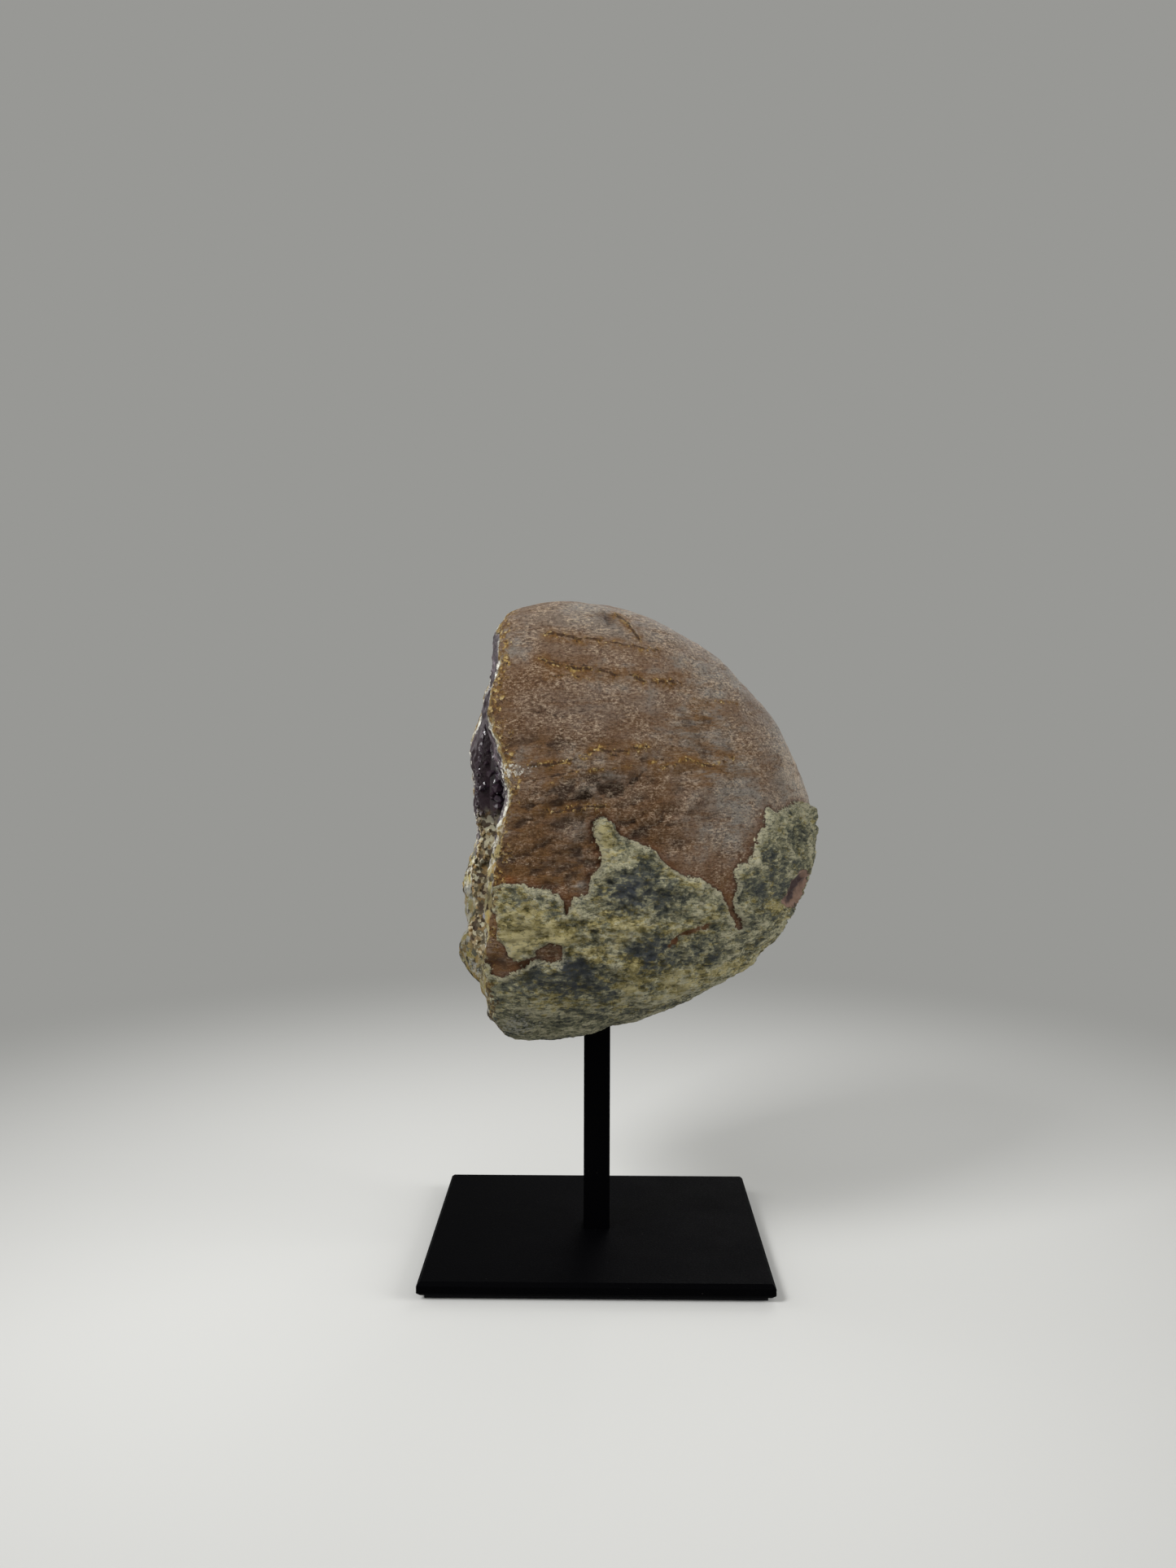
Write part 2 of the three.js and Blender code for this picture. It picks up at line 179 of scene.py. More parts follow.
@dataclass(frozen=True)
class Nodule:
    """The form of the half nodule and its hollow, in millimetres."""

    centre: Triple = (0.0, -8.0, 123.0)
    half_width: float = 48.0
    fullness: float = 2.3
    outline_step: float = math.radians(20)
    outline_radii: tuple[float, ...] = (
        60, 60, 61, 62, 58.4, 56, 57.3, 61.4, 69, 75.5, 74.8, 72.8, 73.6, 75.2, 74.4, 71, 66, 62,
    )
    face_turn: float = math.radians(10.7)
    face_reach: float = 26.0
    hollow_depth: float = 40.0
    hollow_rise: float = 3.0
    lip_share: float = 0.8
    lip_sharpness: float = 12.0
    sunk_skin: float = 1.0
    halvings: int = 24
    rim_lumps: tuple[Lump, ...] = (
        Lump(95, 0.5, -6.5), Lump(126, 0.28, -4), Lump(160, 0.25, 1.2), Lump(180, 0.1, -1.6),
        Lump(200, 0.18, 3.8), Lump(225, 0.16, 6), Lump(-90, 0.45, -8), Lump(-36, 0.35, 3.8),
        Lump(19, 0.13, -2.2), Lump(38, 0.16, 2), Lump(-6, 0.2, 2.4), Lump(-26, 0.2, 1.2),
    )

    @property
    def middle(self) -> Array:
        """The nodule's middle, before it was broken."""
        return np.array(self.centre)

    @property
    def sideways(self) -> Array:
        """The direction across the open face."""
        return np.array([math.cos(self.face_turn), math.sin(self.face_turn), 0.0])

    @property
    def forwards(self) -> Array:
        """The direction that the open face looks in."""
        return np.array([math.sin(self.face_turn), -math.cos(self.face_turn), 0.0])

    @property
    def hollow_middle(self) -> Array:
        """The middle of the hollow's mouth."""
        return self.middle + self.forwards * self.face_reach + np.array([0, 0, self.hollow_rise])

    def outline_radius(self, angle: Array) -> Array:
        """Give the side outline's radius at angles up from the back, on a smooth curve."""
        values = np.array(self.outline_radii)
        place = (angle + math.pi) / self.outline_step
        index = np.floor(place).astype(int)
        share = place - index
        before, start, end, after = (values[(index + step) % len(values)] for step in (-1, 0, 1, 2))
        slope = (end - before) / 2
        next_slope = (after - start) / 2
        bend = 3 * (end - start) - 2 * slope - next_slope
        twist = 2 * (start - end) + slope + next_slope
        return start + share * (slope + share * (bend + share * twist))

    def rim_reach(self, angle: Array) -> Array:
        """Give how far forward the rim lies at angles round the face."""
        reach = np.full(len(angle), self.face_reach)
        for lump in self.rim_lumps:
            off = angle - math.radians(lump.angle)
            gap = np.abs(np.arctan2(np.sin(off), np.cos(off)))
            reach += lump.height * bell(gap, lump.spread)
        return reach

    def surface(self, angle: Array, polar: Array) -> Array:
        """Give points of the whole nodule.

        Args:
            angle: Angles round the face.
            polar: Angles away from the back.

        Returns:
            Points, one row each.
        """
        across = np.sin(polar) * np.cos(angle)
        rise = np.sin(polar) * np.sin(angle)
        back = np.cos(polar)
        plane = np.hypot(rise, back)
        full = (np.abs(across) ** self.fullness + plane ** self.fullness) ** (-1 / self.fullness)
        radius = self.outline_radius(np.arctan2(rise, back)) * full
        place = self.middle + np.outer(self.half_width * full * across, self.sideways)
        place -= np.outer(radius * back, self.forwards)
        place[:, 2] += radius * rise
        return place

    def rim_polar(self, angle: Array) -> Array:
        """Find the angle away from the back at which the nodule meets its broken face."""
        low = np.full(len(angle), math.pi / 2)
        high = np.full(len(angle), math.pi)
        wanted = self.rim_reach(angle)
        for _ in range(self.halvings):
            half = (low + high) / 2
            short = (self.surface(angle, half) - self.middle) @ self.forwards < wanted
            low = np.where(short, half, low)
            high = np.where(short, high, half)
        return low

    def swell(self, place: Array) -> Array:
        """Give the height of the skin's broad swells."""
        x, y, z = place.T
        wide = np.sin(x / 15 + 0.6) * np.sin(y / 19 + 1.2) * np.sin(z / 17)
        fine = np.sin(x / 6 + z / 9) * np.sin(y / 7 - z / 11)
        return 0.9 * wide + 0.35 * fine

    def outwards(self, place: Array) -> Array:
        """Give the directions from the nodule's middle through points."""
        away = place - self.middle
        return away / np.linalg.norm(away, axis=1)[:, None]

    def skin(self, angle: Array, share: Array) -> Array:
        """Give points of the brown skin, from the rim at share 0 to the back at 1."""
        place = self.surface(angle, self.rim_polar(angle) * (1 - share))
        fade = smooth_step(share, 0, 0.06)
        height = self.swell(place) * fade - self.sunk_skin
        return place + self.outwards(place) * height[:, None]

    def lip(self, angle: Array) -> Array:
        """Give points of the hollow's uneven lip."""
        rim = self.skin(angle, np.zeros(len(angle)))
        share = self.lip_share + 0.02 * np.sin(3 * angle + 1) + 0.015 * np.sin(7 * angle)
        return self.hollow_middle + (rim - self.hollow_middle) * share[:, None]

    def hollow(self, angle: Array, share: Array, inset: Union[float, Array] = 0.0) -> Array:
        """Give points of the hollow's wall.

        Args:
            angle: Angles round the face.
            share: 0 at the hollow's deepest point, 1 at its lip.
            inset: How far the wall is drawn in.

        Returns:
            Points, one row each.
        """
        spoke = self.lip(angle) - self.hollow_middle
        lift = spoke @ self.forwards
        spoke = spoke - np.outer(lift, self.forwards)
        turn = share * math.pi / 2
        reach = np.sin(turn) * (1 - inset / np.linalg.norm(spoke, axis=1))
        depth = lift * share ** self.lip_sharpness - (self.hollow_depth - inset) * np.cos(turn)
        return self.hollow_middle + spoke * reach[:, None] + np.outer(depth, self.forwards)

    def broken_band(self, angle: Array, share: Array) -> Array:
        """Give points of the broken band, from the lip at share 0 to the rim at 1."""
        lip = self.lip(angle)
        rim = self.skin(angle, np.zeros(len(angle)))
        hump = np.sin(share * math.pi) * (0.8 + 0.7 * np.sin(9 * angle) * np.sin(4 * angle))
        return lip + (rim - lip) * share[:, None] + np.outer(hump, self.forwards)


def disc_from_square(across: Array, height: Array) -> tuple[Array, Array]:
    """Turn a square of half width 1 into a disc.

    Args:
        across: First coordinates in the square.
        height: Second coordinates in the square.

    Returns:
        The distances from the middle and the angles.
    """
    distance = np.maximum(np.abs(across), np.abs(height))
    wide = np.abs(across) >= np.abs(height)
    safe_across = np.where(across == 0, 1e-12, across)
    safe_height = np.where(height == 0, 1e-12, height)
    quarter = math.pi / 4
    sides = quarter * height / safe_across + np.where(across < 0, math.pi, 0)
    ends = 2 * quarter - quarter * across / safe_height + np.where(height < 0, math.pi, 0)
    return distance, np.where(wide, sides, ends)


# Where the stone's markings lie


@dataclass(frozen=True)
class Zone:
    """A soft oval patch on a side chart, in millimetres."""

    across: float
    height: float
    half_length: float
    half_height: float
    strength: float = 1.0
    tilt: float = 0.0

    def weight(self, chart: Array) -> Array:
        """Give the patch's strength at chart points."""
        turn = math.radians(self.tilt)
        off = chart - np.array([self.across, self.height])
        along = off[:, 0] * math.cos(turn) + off[:, 1] * math.sin(turn)
        over = off[:, 1] * math.cos(turn) - off[:, 0] * math.sin(turn)
        return self.strength * np.exp(-((along / self.half_length) ** 2) - (over / self.half_height) ** 2)


@dataclass(frozen=True)
class Seam:
    """A thin line on a side chart and how wide it is, as a share of a full seam."""

    line: tuple[Point, ...]
    width: float = 1.0


@dataclass(frozen=True)
class SideChart:
    """A flat chart of one side of the stone, as it is seen from a point beside it."""

    eye: Triple = (358.7, 0.9, 160.2)
    far_side: bool = False
    far_middle: float = 12.0
    far_drop: float = 5.0

    def place(self, points: Array) -> Array:
        """Give the chart points of points of the stone.

        Args:
            points: Places in millimetres, one row each.

        Returns:
            Chart points: the distance along the table and the height.
        """
        reach, level, height = self.eye
        side = -points[:, 0] if self.far_side else points[:, 0]
        spread = reach / (reach - side)
        along = level + (points[:, 1] - level) * spread
        rise = height + (points[:, 2] - height) * spread
        if self.far_side:
            return np.column_stack([2 * self.far_middle - along, rise + self.far_drop])
        return np.column_stack([along, rise])


@dataclass(frozen=True)
class Markings:
    """The lines and patches of the stone, measured on its near side chart."""

    rind_edge: tuple[Point, ...] = (
        (-60, 109), (-35, 109.5), (-32, 110), (-29, 112), (-25, 111.5), (-20.5, 110.5),
        (-16.5, 109.5), (-12, 108), (-10.5, 106), (-9.5, 102.5), (-8, 106), (-7, 107.5),
        (-3.5, 108.5), (-3, 112), (-2.5, 114.5), (0, 115), (1.5, 118), (0.5, 121.5),
        (-0.5, 124.5), (-1, 129), (0, 130.5), (2, 131.5), (4, 130), (7, 126.5), (10, 124.5),
        (14, 123), (17, 121.5), (18.5, 119), (22, 116.5), (26, 114.5), (30.5, 112.5),
        (34, 111.5), (37, 109), (38.5, 106), (40, 103), (41.5, 100.5), (43, 98), (43, 101),
        (41.5, 103.5), (41, 106.5), (41.5, 109.5), (42, 114.5), (43, 117), (45, 118),
        (46, 119.5), (47, 122.5), (49, 126.5), (50, 129), (50.5, 133), (51.5, 134.5),
        (54.5, 134), (57, 134.5), (59, 136), (61, 137), (90, 138.5), (90, 0), (-60, 0),
    )
    window: tuple[Point, ...] = (
        (-34, 103), (-32.5, 103), (-30.5, 101), (-30, 96), (-28.5, 93), (-27.5, 89.5),
        (-25.5, 88), (-23, 87.5), (-20.5, 88.5), (-18.5, 89.5), (-17.5, 91), (-15, 93),
        (-11, 93), (-10.5, 91.5), (-11, 89.5), (-12, 88), (-16, 88), (-20.5, 87),
        (-22.5, 85.5), (-25, 84), (-28.5, 83), (-32, 83.5), (-33, 86), (-34.5, 90),
        (-35.5, 93.5), (-35, 96), (-34, 100.5),
    )
    chip: tuple[Point, ...] = (
        (62.5, 116.5), (60.5, 115.5), (58.5, 113), (57, 109.5), (56, 106), (57, 104),
        (59.5, 105), (62, 108.5), (64, 113),
    )
    ledge: tuple[Point, ...] = (
        (-24, 88), (-18.4, 90.4), (-11.2, 92.6), (-3.3, 89.7), (2.4, 86.1), (10.3, 83.3),
        (18.9, 84), (22, 93), (25, 95.5), (29, 97.5), (33.5, 98.5), (40, 99),
    )
    far_rind_edge: tuple[Point, ...] = (
        (-180, 108), (-150, 96), (-120, 110), (-95, 103), (-62, 112), (-45, 112), (-26, 110),
        (-14, 106), (-4, 113), (0, 131), (10, 126), (22, 116), (32, 111), (40, 112), (48, 122),
        (58, 133), (72, 137), (95, 128), (120, 112), (150, 118), (180, 108),
    )
    seams: tuple[Seam, ...] = (
        Seam(
            ((-16, 187.5), (-8.5, 186.5), (-6.5, 185.5), (-1, 185.5), (5.5, 184.5), (13.5, 183), (18, 182.5)),
            0.8,
        ),
        Seam((
            (-17.5, 180), (-15.5, 179), (-7.5, 177), (0, 176.5), (5.5, 175), (11, 174.5), (14.5, 173),
            (21, 173), (26.5, 172.5),
        )),
        Seam(((-16, 174.5), (-9, 175), (-2, 173.5)), 0.5),
        Seam((
            (-21, 147.5), (-15.5, 147.5), (-9, 149), (-4.5, 150), (-2.5, 151.5), (0, 152.5), (3.5, 151.5),
            (9, 152), (14.5, 153),
        ), 1.1),
        Seam(((-17.5, 133.5), (-12, 133.5), (-9, 134.5), (-5.5, 134.5), (-2, 135), (2, 135)), 1.1),
        Seam(((18.5, 146.5), (24, 148), (26.5, 149.5), (30.5, 148), (34, 147.5), (40.5, 150)), 0.8),
        Seam(((5, 193.5), (9, 190.5), (12.5, 185.5)), 0.8),
        Seam(((28, 168), (34, 167.5), (42, 166.5)), 0.4),
        Seam(((-16, 141), (-9, 145), (0, 146.5), (10, 147), (20, 149.5)), 0.5),
    )
    cracks: tuple[Seam, ...] = (
        Seam(((-20, 164.5), (-15.5, 163.5), (-11, 162.5), (-4, 164.5)), 0.7),
        Seam(((-19.9, 142.9), (-8, 146), (6.5, 151.5)), 0.8),
        Seam(((-6.3, 133.6), (2, 138), (7, 140), (13.6, 145.1)), 0.9),
        Seam(((-20.6, 135.7), (-12, 136), (-3.5, 138.7)), 0.7),
        Seam(((22, 93), (25, 95.5), (29, 97.5), (33.5, 98.5)), 1.0),
        Seam(((-18, 180.8), (-8, 178.5), (4, 176.8)), 0.5),
    )
    warm: tuple[Zone, ...] = (
        Zone(-20, 113, 17, 8, 1.0), Zone(-28, 111, 4, 3, 1.3), Zone(-10, 122, 24, 13, 0.75),
        Zone(-29, 166, 4, 20, 0.5), Zone(-15, 153, 16, 3.5, 0.9), Zone(0, 143, 28, 6, 0.5),
        Zone(25, 149, 16, 4, 0.6), Zone(32.7, 163.5, 6, 4, 0.9), Zone(39, 106, 4, 9, 1.0),
        Zone(20, 124, 20, 7, 0.5), Zone(-9.5, 108, 4, 5, 0.9), Zone(6, 175, 22, 2.5, 0.5),
        Zone(2, 185, 18, 2, 0.4), Zone(-15, 134, 14, 3, 0.6), Zone(8, 134, 22, 4, 0.35),
        Zone(-32, 95, 5, 9, 1.1), Zone(-26, 86, 8, 4, 1.1), Zone(-14, 91, 6, 3, 1.1),
        Zone(-24, 130, 6, 6, 0.6), Zone(30, 157, 16, 9, 0.6), Zone(36, 146, 14, 6, 0.75),
    )
    # The dark patches are partly dark brown stain and partly painted shade in the furrows and in the small
    # pit.
    dark: tuple[Zone, ...] = (
        Zone(-5, 139, 22, 6, 1.15, 20), Zone(8, 128, 16, 6, 0.5), Zone(20, 133, 16, 8, 0.4),
        Zone(-12, 119, 16, 8, 0.6), Zone(-12, 155, 22, 4, 0.4),
        Zone(2, 192, 3, 2.5, 0.7), Zone(53.5, 129.5, 2, 1.5, 0.9),
    )
    # The pale patches are partly grey frost and partly painted light: painted sheen over the top and,
    # strongest, painted light at the right edge.
    pale: tuple[Zone, ...] = (
        Zone(8, 191, 40, 8, 0.85), Zone(42, 176, 26, 9, 0.65, -48), Zone(62, 152, 9, 24, 1.8),
        Zone(0, 166, 26, 7, 0.45), Zone(35, 141, 14, 7, 0.45, -25), Zone(24, 160, 14, 8, 0.2),
    )
    blue: tuple[Zone, ...] = (
        Zone(9.5, 109, 11, 7, 1.1), Zone(-22, 105, 5, 4, 0.6), Zone(-11, 98, 8, 3, 0.7),
        Zone(-9, 88, 6, 4, 1.0), Zone(-3, 84, 16, 8, 0.5), Zone(15, 90, 8, 6, 0.8),
        Zone(32, 91, 12, 5, 0.5), Zone(4, 76, 34, 6, 0.4), Zone(-14, 79, 10, 5, 0.45),
        Zone(52, 112, 7, 14, 0.6),
    )
    yellow: tuple[Zone, ...] = (
        Zone(-20, 99, 10, 8, 1.3), Zone(-25, 92.5, 5, 3, 1.2), Zone(-11, 95.5, 5, 2.5, 0.9),
        Zone(-3, 90.4, 5, 2.5, 0.9), Zone(9.6, 88, 4, 3, 0.9), Zone(9, 79, 3, 4, 0.7),
        Zone(-37, 92, 5, 12, 0.9), Zone(27, 98, 9, 3, 0.5), Zone(35, 103, 5, 3, 0.6),
        Zone(54, 104.5, 3, 3, 1.1), Zone(24.5, 114, 8, 2, 0.6, -25), Zone(41.5, 85.5, 12, 3, 0.7),
        Zone(24, 79, 16, 3, 0.6, 25), Zone(-7, 75, 22, 2.5, 0.7), Zone(1, 124, 4, 6, 1.0),
        Zone(10, 98, 12, 4, 0.5), Zone(52, 90, 8, 4, 0.6), Zone(18, 82, 13, 5, 0.8), Zone(3, 98, 10, 7, 0.5),
        Zone(-26, 93, 5, 8, 0.7), Zone(1, 126, 4, 6, 0.6), Zone(-14, 78, 12, 6, 0.4),
    )
    white: tuple[Zone, ...] = (
        Zone(-20, 106.5, 5, 4, 0.9), Zone(24, 109, 8, 4, 0.7), Zone(53, 121, 3, 2, 0.8),
        Zone(59, 119, 3, 2, 0.8), Zone(-26, 92, 3, 3, 0.7), Zone(-23, 146.5, 6, 3, 1.35),
        Zone(-22, 74, 8, 3, 0.7), Zone(-36, 96, 3, 14, 0.5), Zone(3, 127, 3, 3, 0.5),
        Zone(-30, 142, 4, 8, 1.35), Zone(38, 96, 6, 3, 0.4), Zone(-25, 68, 9, 4, 1.5),
        Zone(-30, 160, 3, 8, 0.6),
    )
    knobs: tuple[Zone, ...] = (
        Zone(44, 126, 2, 2.5, 0.5), Zone(50, 131, 2, 2, 0.5), Zone(57, 121, 2.5, 2, 0.5),
        Zone(53, 110, 2, 3, 0.4), Zone(-24, 104, 3, 3, 0.6), Zone(-17, 101, 3, 2.5, 0.5),
        Zone(-26, 91, 2.5, 2.5, 0.6), Zone(16, 169.5, 1.3, 1.3, 0.5), Zone(-5, 149.5, 4, 1.6, 0.5),
        Zone(27, 148, 2.5, 1.5, 0.5), Zone(-7, 134.5, 4, 1.4, 0.5), Zone(1.5, 130, 2.5, 2, 0.4),
    )

    hole: Point = (53.5, 129.5)

    def sum_of(self, zones: Sequence[Zone], chart: Array) -> Array:
        """Add up soft patches at chart points."""
        return sum(zone.weight(chart) for zone in zones)

    def nearest_of(self, seams: Sequence[Seam], chart: Array) -> Array:
        """Give the distance to the nearest seam, larger for a thinner one."""
        gaps = [distance_to_line(chart, seam.line) / seam.width for seam in seams]
        return np.min(gaps, axis=0)

    def far_rind_depth(self, points: Array, centre: Array) -> Array:
        """Measure roughly how far below the rind's edge points lie, all round the stone."""
        around = np.degrees(np.arctan2(points[:, 1] - centre[1], points[:, 0] - centre[0]))
        angles, heights = zip(*self.far_rind_edge)
        return (np.interp(around, angles, heights) - points[:, 2]) * 0.8


# The stone


class Layer(Enum):
    """What is stored at each point of the stone, and of the crystals, for its material."""

    RIND = "rind_depth"
    BACK = "behind_rim"
    SEAM = "seam_gap"
    CRACK = "crack_gap"
    CHIP = "chip_depth"
    WARM = "warm"
    # Dark brown stain, partly painted shade in the furrows.
    DARK_AND_PAINTED_SHADE = "dark"
    # Pale grey frost, partly painted sheen on the top and painted light at the right edge.
    PALE_AND_PAINTED_LIGHT = "pale"
    BLUE = "blue"
    YELLOW = "yellow"
    WHITE = "white"
    LUMP = "lump"
    TIP = "tip"
    LIP = "lip"


@dataclass
class Stone:
    """The stone: its fine surface and the layers that its material reads, in millimetres and degrees."""

    nodule: Nodule
    markings: Markings
    cuts: int = 119
    side_share: float = 0.62
    hollow_split: float = 0.62
    rind_height: float = 1.0
    socket_radius: float = 6.5
    mouth_radius: float = 9.5
    mouth_height: float = 65.0
    socket_top: float = 90.0
    near_to_far: float = 12.0
    chip_end: float = 16.0
    far_white: float = 0.25
    # How strong the pale patches, frost and painted light, are on the far side.
    far_pale_and_painted_light: float = 0.6
    far_at_back: Point = (74.0, 100.0)
    far_in_front: Point = (66.0, 92.0)
    mean_radius: float = 60.0
    hollow_length: float = 30.0
    mouth_slope: float = 2.0
    furrow_way: Point = (0.94, 0.34)

    def build(self) -> bpy.types.Object:
        """Make the stone's mesh and store its layers.

        Returns:
            The stone, without a material.
        """
        body = bmesh.new()
        bmesh.ops.create_cube(body, size=2.0)
        bmesh.ops.subdivide_edges(body, edges=body.edges[:], cuts=self.cuts, use_grid_fill=True)
        cube = np.array([vertex.co for vertex in body.verts])
        base, behind, cavity = self.base_form(cube)
        layers = self.measure(base, behind)
        layers[Layer.LUMP] = self.lumps(base, layers)
        place = base + self.relief(base, behind, cavity, layers)
        place = self.drill(place)
        for vertex, point in zip(body.verts, place * MM):
            vertex.co = point
        bmesh.ops.recalc_face_normals(body, faces=body.faces[:])
        for face in body.faces:
            face.smooth = True
        stone = placed("stone_surface", body)
        for layer, values in layers.items():
            stored = stone.data.attributes.new(layer.value, "FLOAT", "POINT")
            stored.data.foreach_set("value", values.astype(np.float32))
        return stone

    def base_form(self, cube: Array) -> tuple[Array, Array, Array]:
        """Lay the cube's points on the plain form of the stone.

        Args:
            cube: Points of a cube of half width 1.

        Returns:
            The places, how far each lies behind the rim, and how deep it is in the hollow.
        """
        nodule = self.nodule
        distance, angle = disc_from_square(cube[:, 0], cube[:, 2])
        in_front = cube[:, 1] < -1 + 1e-5
        at_back = cube[:, 1] > 1 - 1e-5
        in_hollow = in_front & (distance <= self.hollow_split)
        on_band = in_front & ~in_hollow
        end_share = 1 - distance * (1 - self.side_share)
        share = np.where(at_back, end_share, self.side_share * (cube[:, 1] + 1) / 2)
        place = nodule.skin(angle, np.clip(share, 0, 1))
        behind = share * nodule.rim_polar(angle) * self.mean_radius
        hollow_share = distance / self.hollow_split
        band_share = (distance - self.hollow_split) / (1 - self.hollow_split)
        place[in_hollow] = nodule.hollow(angle[in_hollow], hollow_share[in_hollow])
        place[on_band] = nodule.broken_band(angle[on_band], band_share[on_band])
        rim = nodule.skin(angle, np.zeros(len(angle)))
        width = np.linalg.norm(rim - nodule.lip(angle), axis=1)
        behind = np.where(on_band, -(1 - band_share) * width, behind)
        behind = np.where(in_hollow, -width - (1 - hollow_share) * self.hollow_length, behind)
        cavity = np.where(in_hollow, smooth_step(1 - hollow_share, 0.0, 0.08), 0.0)
        return place, behind, cavity

    def measure(self, place: Array, behind: Array) -> dict[Layer, Array]:
        """Measure the markings at points of the plain form.

        Args:
            place: Points in millimetres.
            behind: How far each lies behind the rim.

        Returns:
            One array of values for each layer.
        """
        marks = self.markings
        near = SideChart().place(place)
        far = SideChart(far_side=True).place(place)
        aside = (place - self.nodule.middle) @ self.nodule.sideways
        nearness = smooth_step(aside, -self.near_to_far, self.near_to_far)
        ragged = 1.1 * clouds(place, 6.0, 4, 3.1) + 0.4 * clouds(place, 1.7, 2, 7.7)
        chip_fade = 0.4 * np.maximum(0, self.chip_end - aside)
        layers = {
            Layer.RIND: self.rind_depth(place, near) + ragged,
            Layer.BACK: behind + 0.8 * clouds(place, 5.0, 3, 1.9),
            Layer.CHIP: depth_inside(near, marks.chip) + 0.3 * ragged - chip_fade,
        }
        off_near = 0.5 * np.maximum(0.0, -aside)
        off_far = 0.5 * np.maximum(0.0, aside)
        for layer, lines in ((Layer.SEAM, marks.seams), (Layer.CRACK, marks.cracks)):
            gaps = (marks.nearest_of(lines, near) + off_near, marks.nearest_of(lines, far) + off_far)
            layers[layer] = np.minimum(*gaps) + 0.35 * clouds(place, 2.5, 3, 5.3)
        zones = {
            Layer.WARM: marks.warm, Layer.DARK_AND_PAINTED_SHADE: marks.dark, Layer.PALE_AND_PAINTED_LIGHT: marks.pale,
            Layer.BLUE: marks.blue, Layer.YELLOW: marks.yellow, Layer.WHITE: marks.white,
        }
        strengths = {Layer.WHITE: self.far_white, Layer.PALE_AND_PAINTED_LIGHT: self.far_pale_and_painted_light}
        for layer, patches in zones.items():
            near_sum = marks.sum_of(patches, near) * nearness
            farness = (1 - nearness) * strengths.get(layer, 1.0)
            layers[layer] = near_sum + marks.sum_of(patches, far) * farness
        return layers

    def rind_depth(self, place: Array, near: Array) -> Array:
        """Measure how far inside the green rind points lie, negative on the brown skin."""
        marks = self.markings
        drawn = np.minimum(depth_inside(near, marks.rind_edge), -depth_inside(near, marks.window))
        around = np.degrees(np.arctan2(place[:, 1] - self.nodule.centre[1], place[:, 0]))
        at_back = smooth_step(around, *self.far_at_back)
        farness = np.where(around > 0, at_back, smooth_step(-around, *self.far_in_front))
        return drawn * (1 - farness) + marks.far_rind_depth(place, self.nodule.middle) * farness

    def relief(self, place: Array, behind: Array, cavity: Array, layers: dict[Layer, Array]) -> Array:
        """Work out how far the true surface stands off the plain form.

        Args:
            place: Points in millimetres.
            behind: How far each lies behind the rim.
            cavity: How deep each lies in the hollow.
            layers: The measured layers.

        Returns:
            Shifts in millimetres, one row each.
        """
        nodule = self.nodule
        on_skin = smooth_step(behind, -0.01, 2.0)
        near_rim = bell(np.maximum(behind, 0), 3.0) * (behind >= 0)
        height = on_skin * (self.skin_height(place, layers) + self.rind_relief(place, layers))
        height += on_skin * layers[Layer.LUMP]
        height += 0.45 * near_rim * clouds(place, 6.0, 3, 9.1)
        shift = nodule.outwards(place) * height[:, None]
        on_band = (behind <= 0) & (cavity == 0)
        broken = 1.3 * clouds(place, 11.0, 4, 4.7) + 0.5 * ridges(place, 4.0, 3, 2.2)
        broken += 0.12 * np.sin(layers[Layer.BACK] * 4.2)
        forward = np.where(on_band, broken * smooth_step(-behind, -0.5, 1.5), 0.0)
        forward += bell(behind, 2.0) * 0.8 * clouds(place, 6.5, 3, 6.3)
        forward *= 1 - cavity
        return shift + np.outer(forward, nodule.forwards)

    def lumps(self, place: Array, layers: dict[Layer, Array]) -> Array:
        """Give the lumps and furrows of the skin and of the rind in millimetres.

        Args:
            place: Points in millimetres.
            layers: The measured layers.

        Returns:
            Heights, coarse on the rind and in the furrowed part of the skin.
        """
        rind = clouds(place, (7.0, 7.0, 5.0), 5, 1.1) + 0.9 * ridges(place, (4.6, 4.6, 3.0), 3, 0.4) - 0.45
        near = SideChart().place(place)
        along = near @ np.array(self.furrow_way)
        over = near @ np.array([-self.furrow_way[1], self.furrow_way[0]])
        turned = np.column_stack([place[:, 0], along, over])
        furrows = 2.4 * (ridges(turned, (20.0, 11.0, 4.6), 4, 1.3) - 0.5) * np.clip(layers[Layer.DARK_AND_PAINTED_SHADE], 0, 1)
        skin = furrows + 0.8 * clouds(place, 6.0, 4, 3.9) * np.clip(layers[Layer.WARM], 0, 1)
        skin += 0.22 * clouds(place, (7.0, 7.0, 2.8), 4, 8.4)
        rind *= 1 - 0.6 * (1 - smooth_step(place[:, 2], 80, 94))
        share = smooth_step(layers[Layer.RIND], -0.25, 0.7)
        return skin * (1 - share) + rind * share

    def skin_height(self, place: Array, layers: dict[Layer, Array]) -> Array:
        """Give the relief of the brown skin: swells, seams and knobs."""
        marks = self.markings
        near = SideChart().place(place)
        height = 0.35 * clouds(place, 22.0, 3, 2.6)
        height += 0.4 * bell(np.maximum(layers[Layer.SEAM], 0), 1.1) * (1 + clouds(place, 3.0, 3, 4.4))
        height -= 0.6 * bell(np.maximum(layers[Layer.CRACK], 0), 0.9)
        aside = place[:, 0] > 0
        height += np.where(aside, marks.sum_of(marks.knobs, near), 0.0)
        hole = np.hypot(near[:, 0] - marks.hole[0], near[:, 1] - marks.hole[1])
        height += np.where(aside, 0.7 * bell(hole - 2.2, 0.8) - 0.8 * bell(hole, 1.2), 0.0)
        return height - 0.9 * smooth_step(layers[Layer.CHIP], -0.2, 1.4)

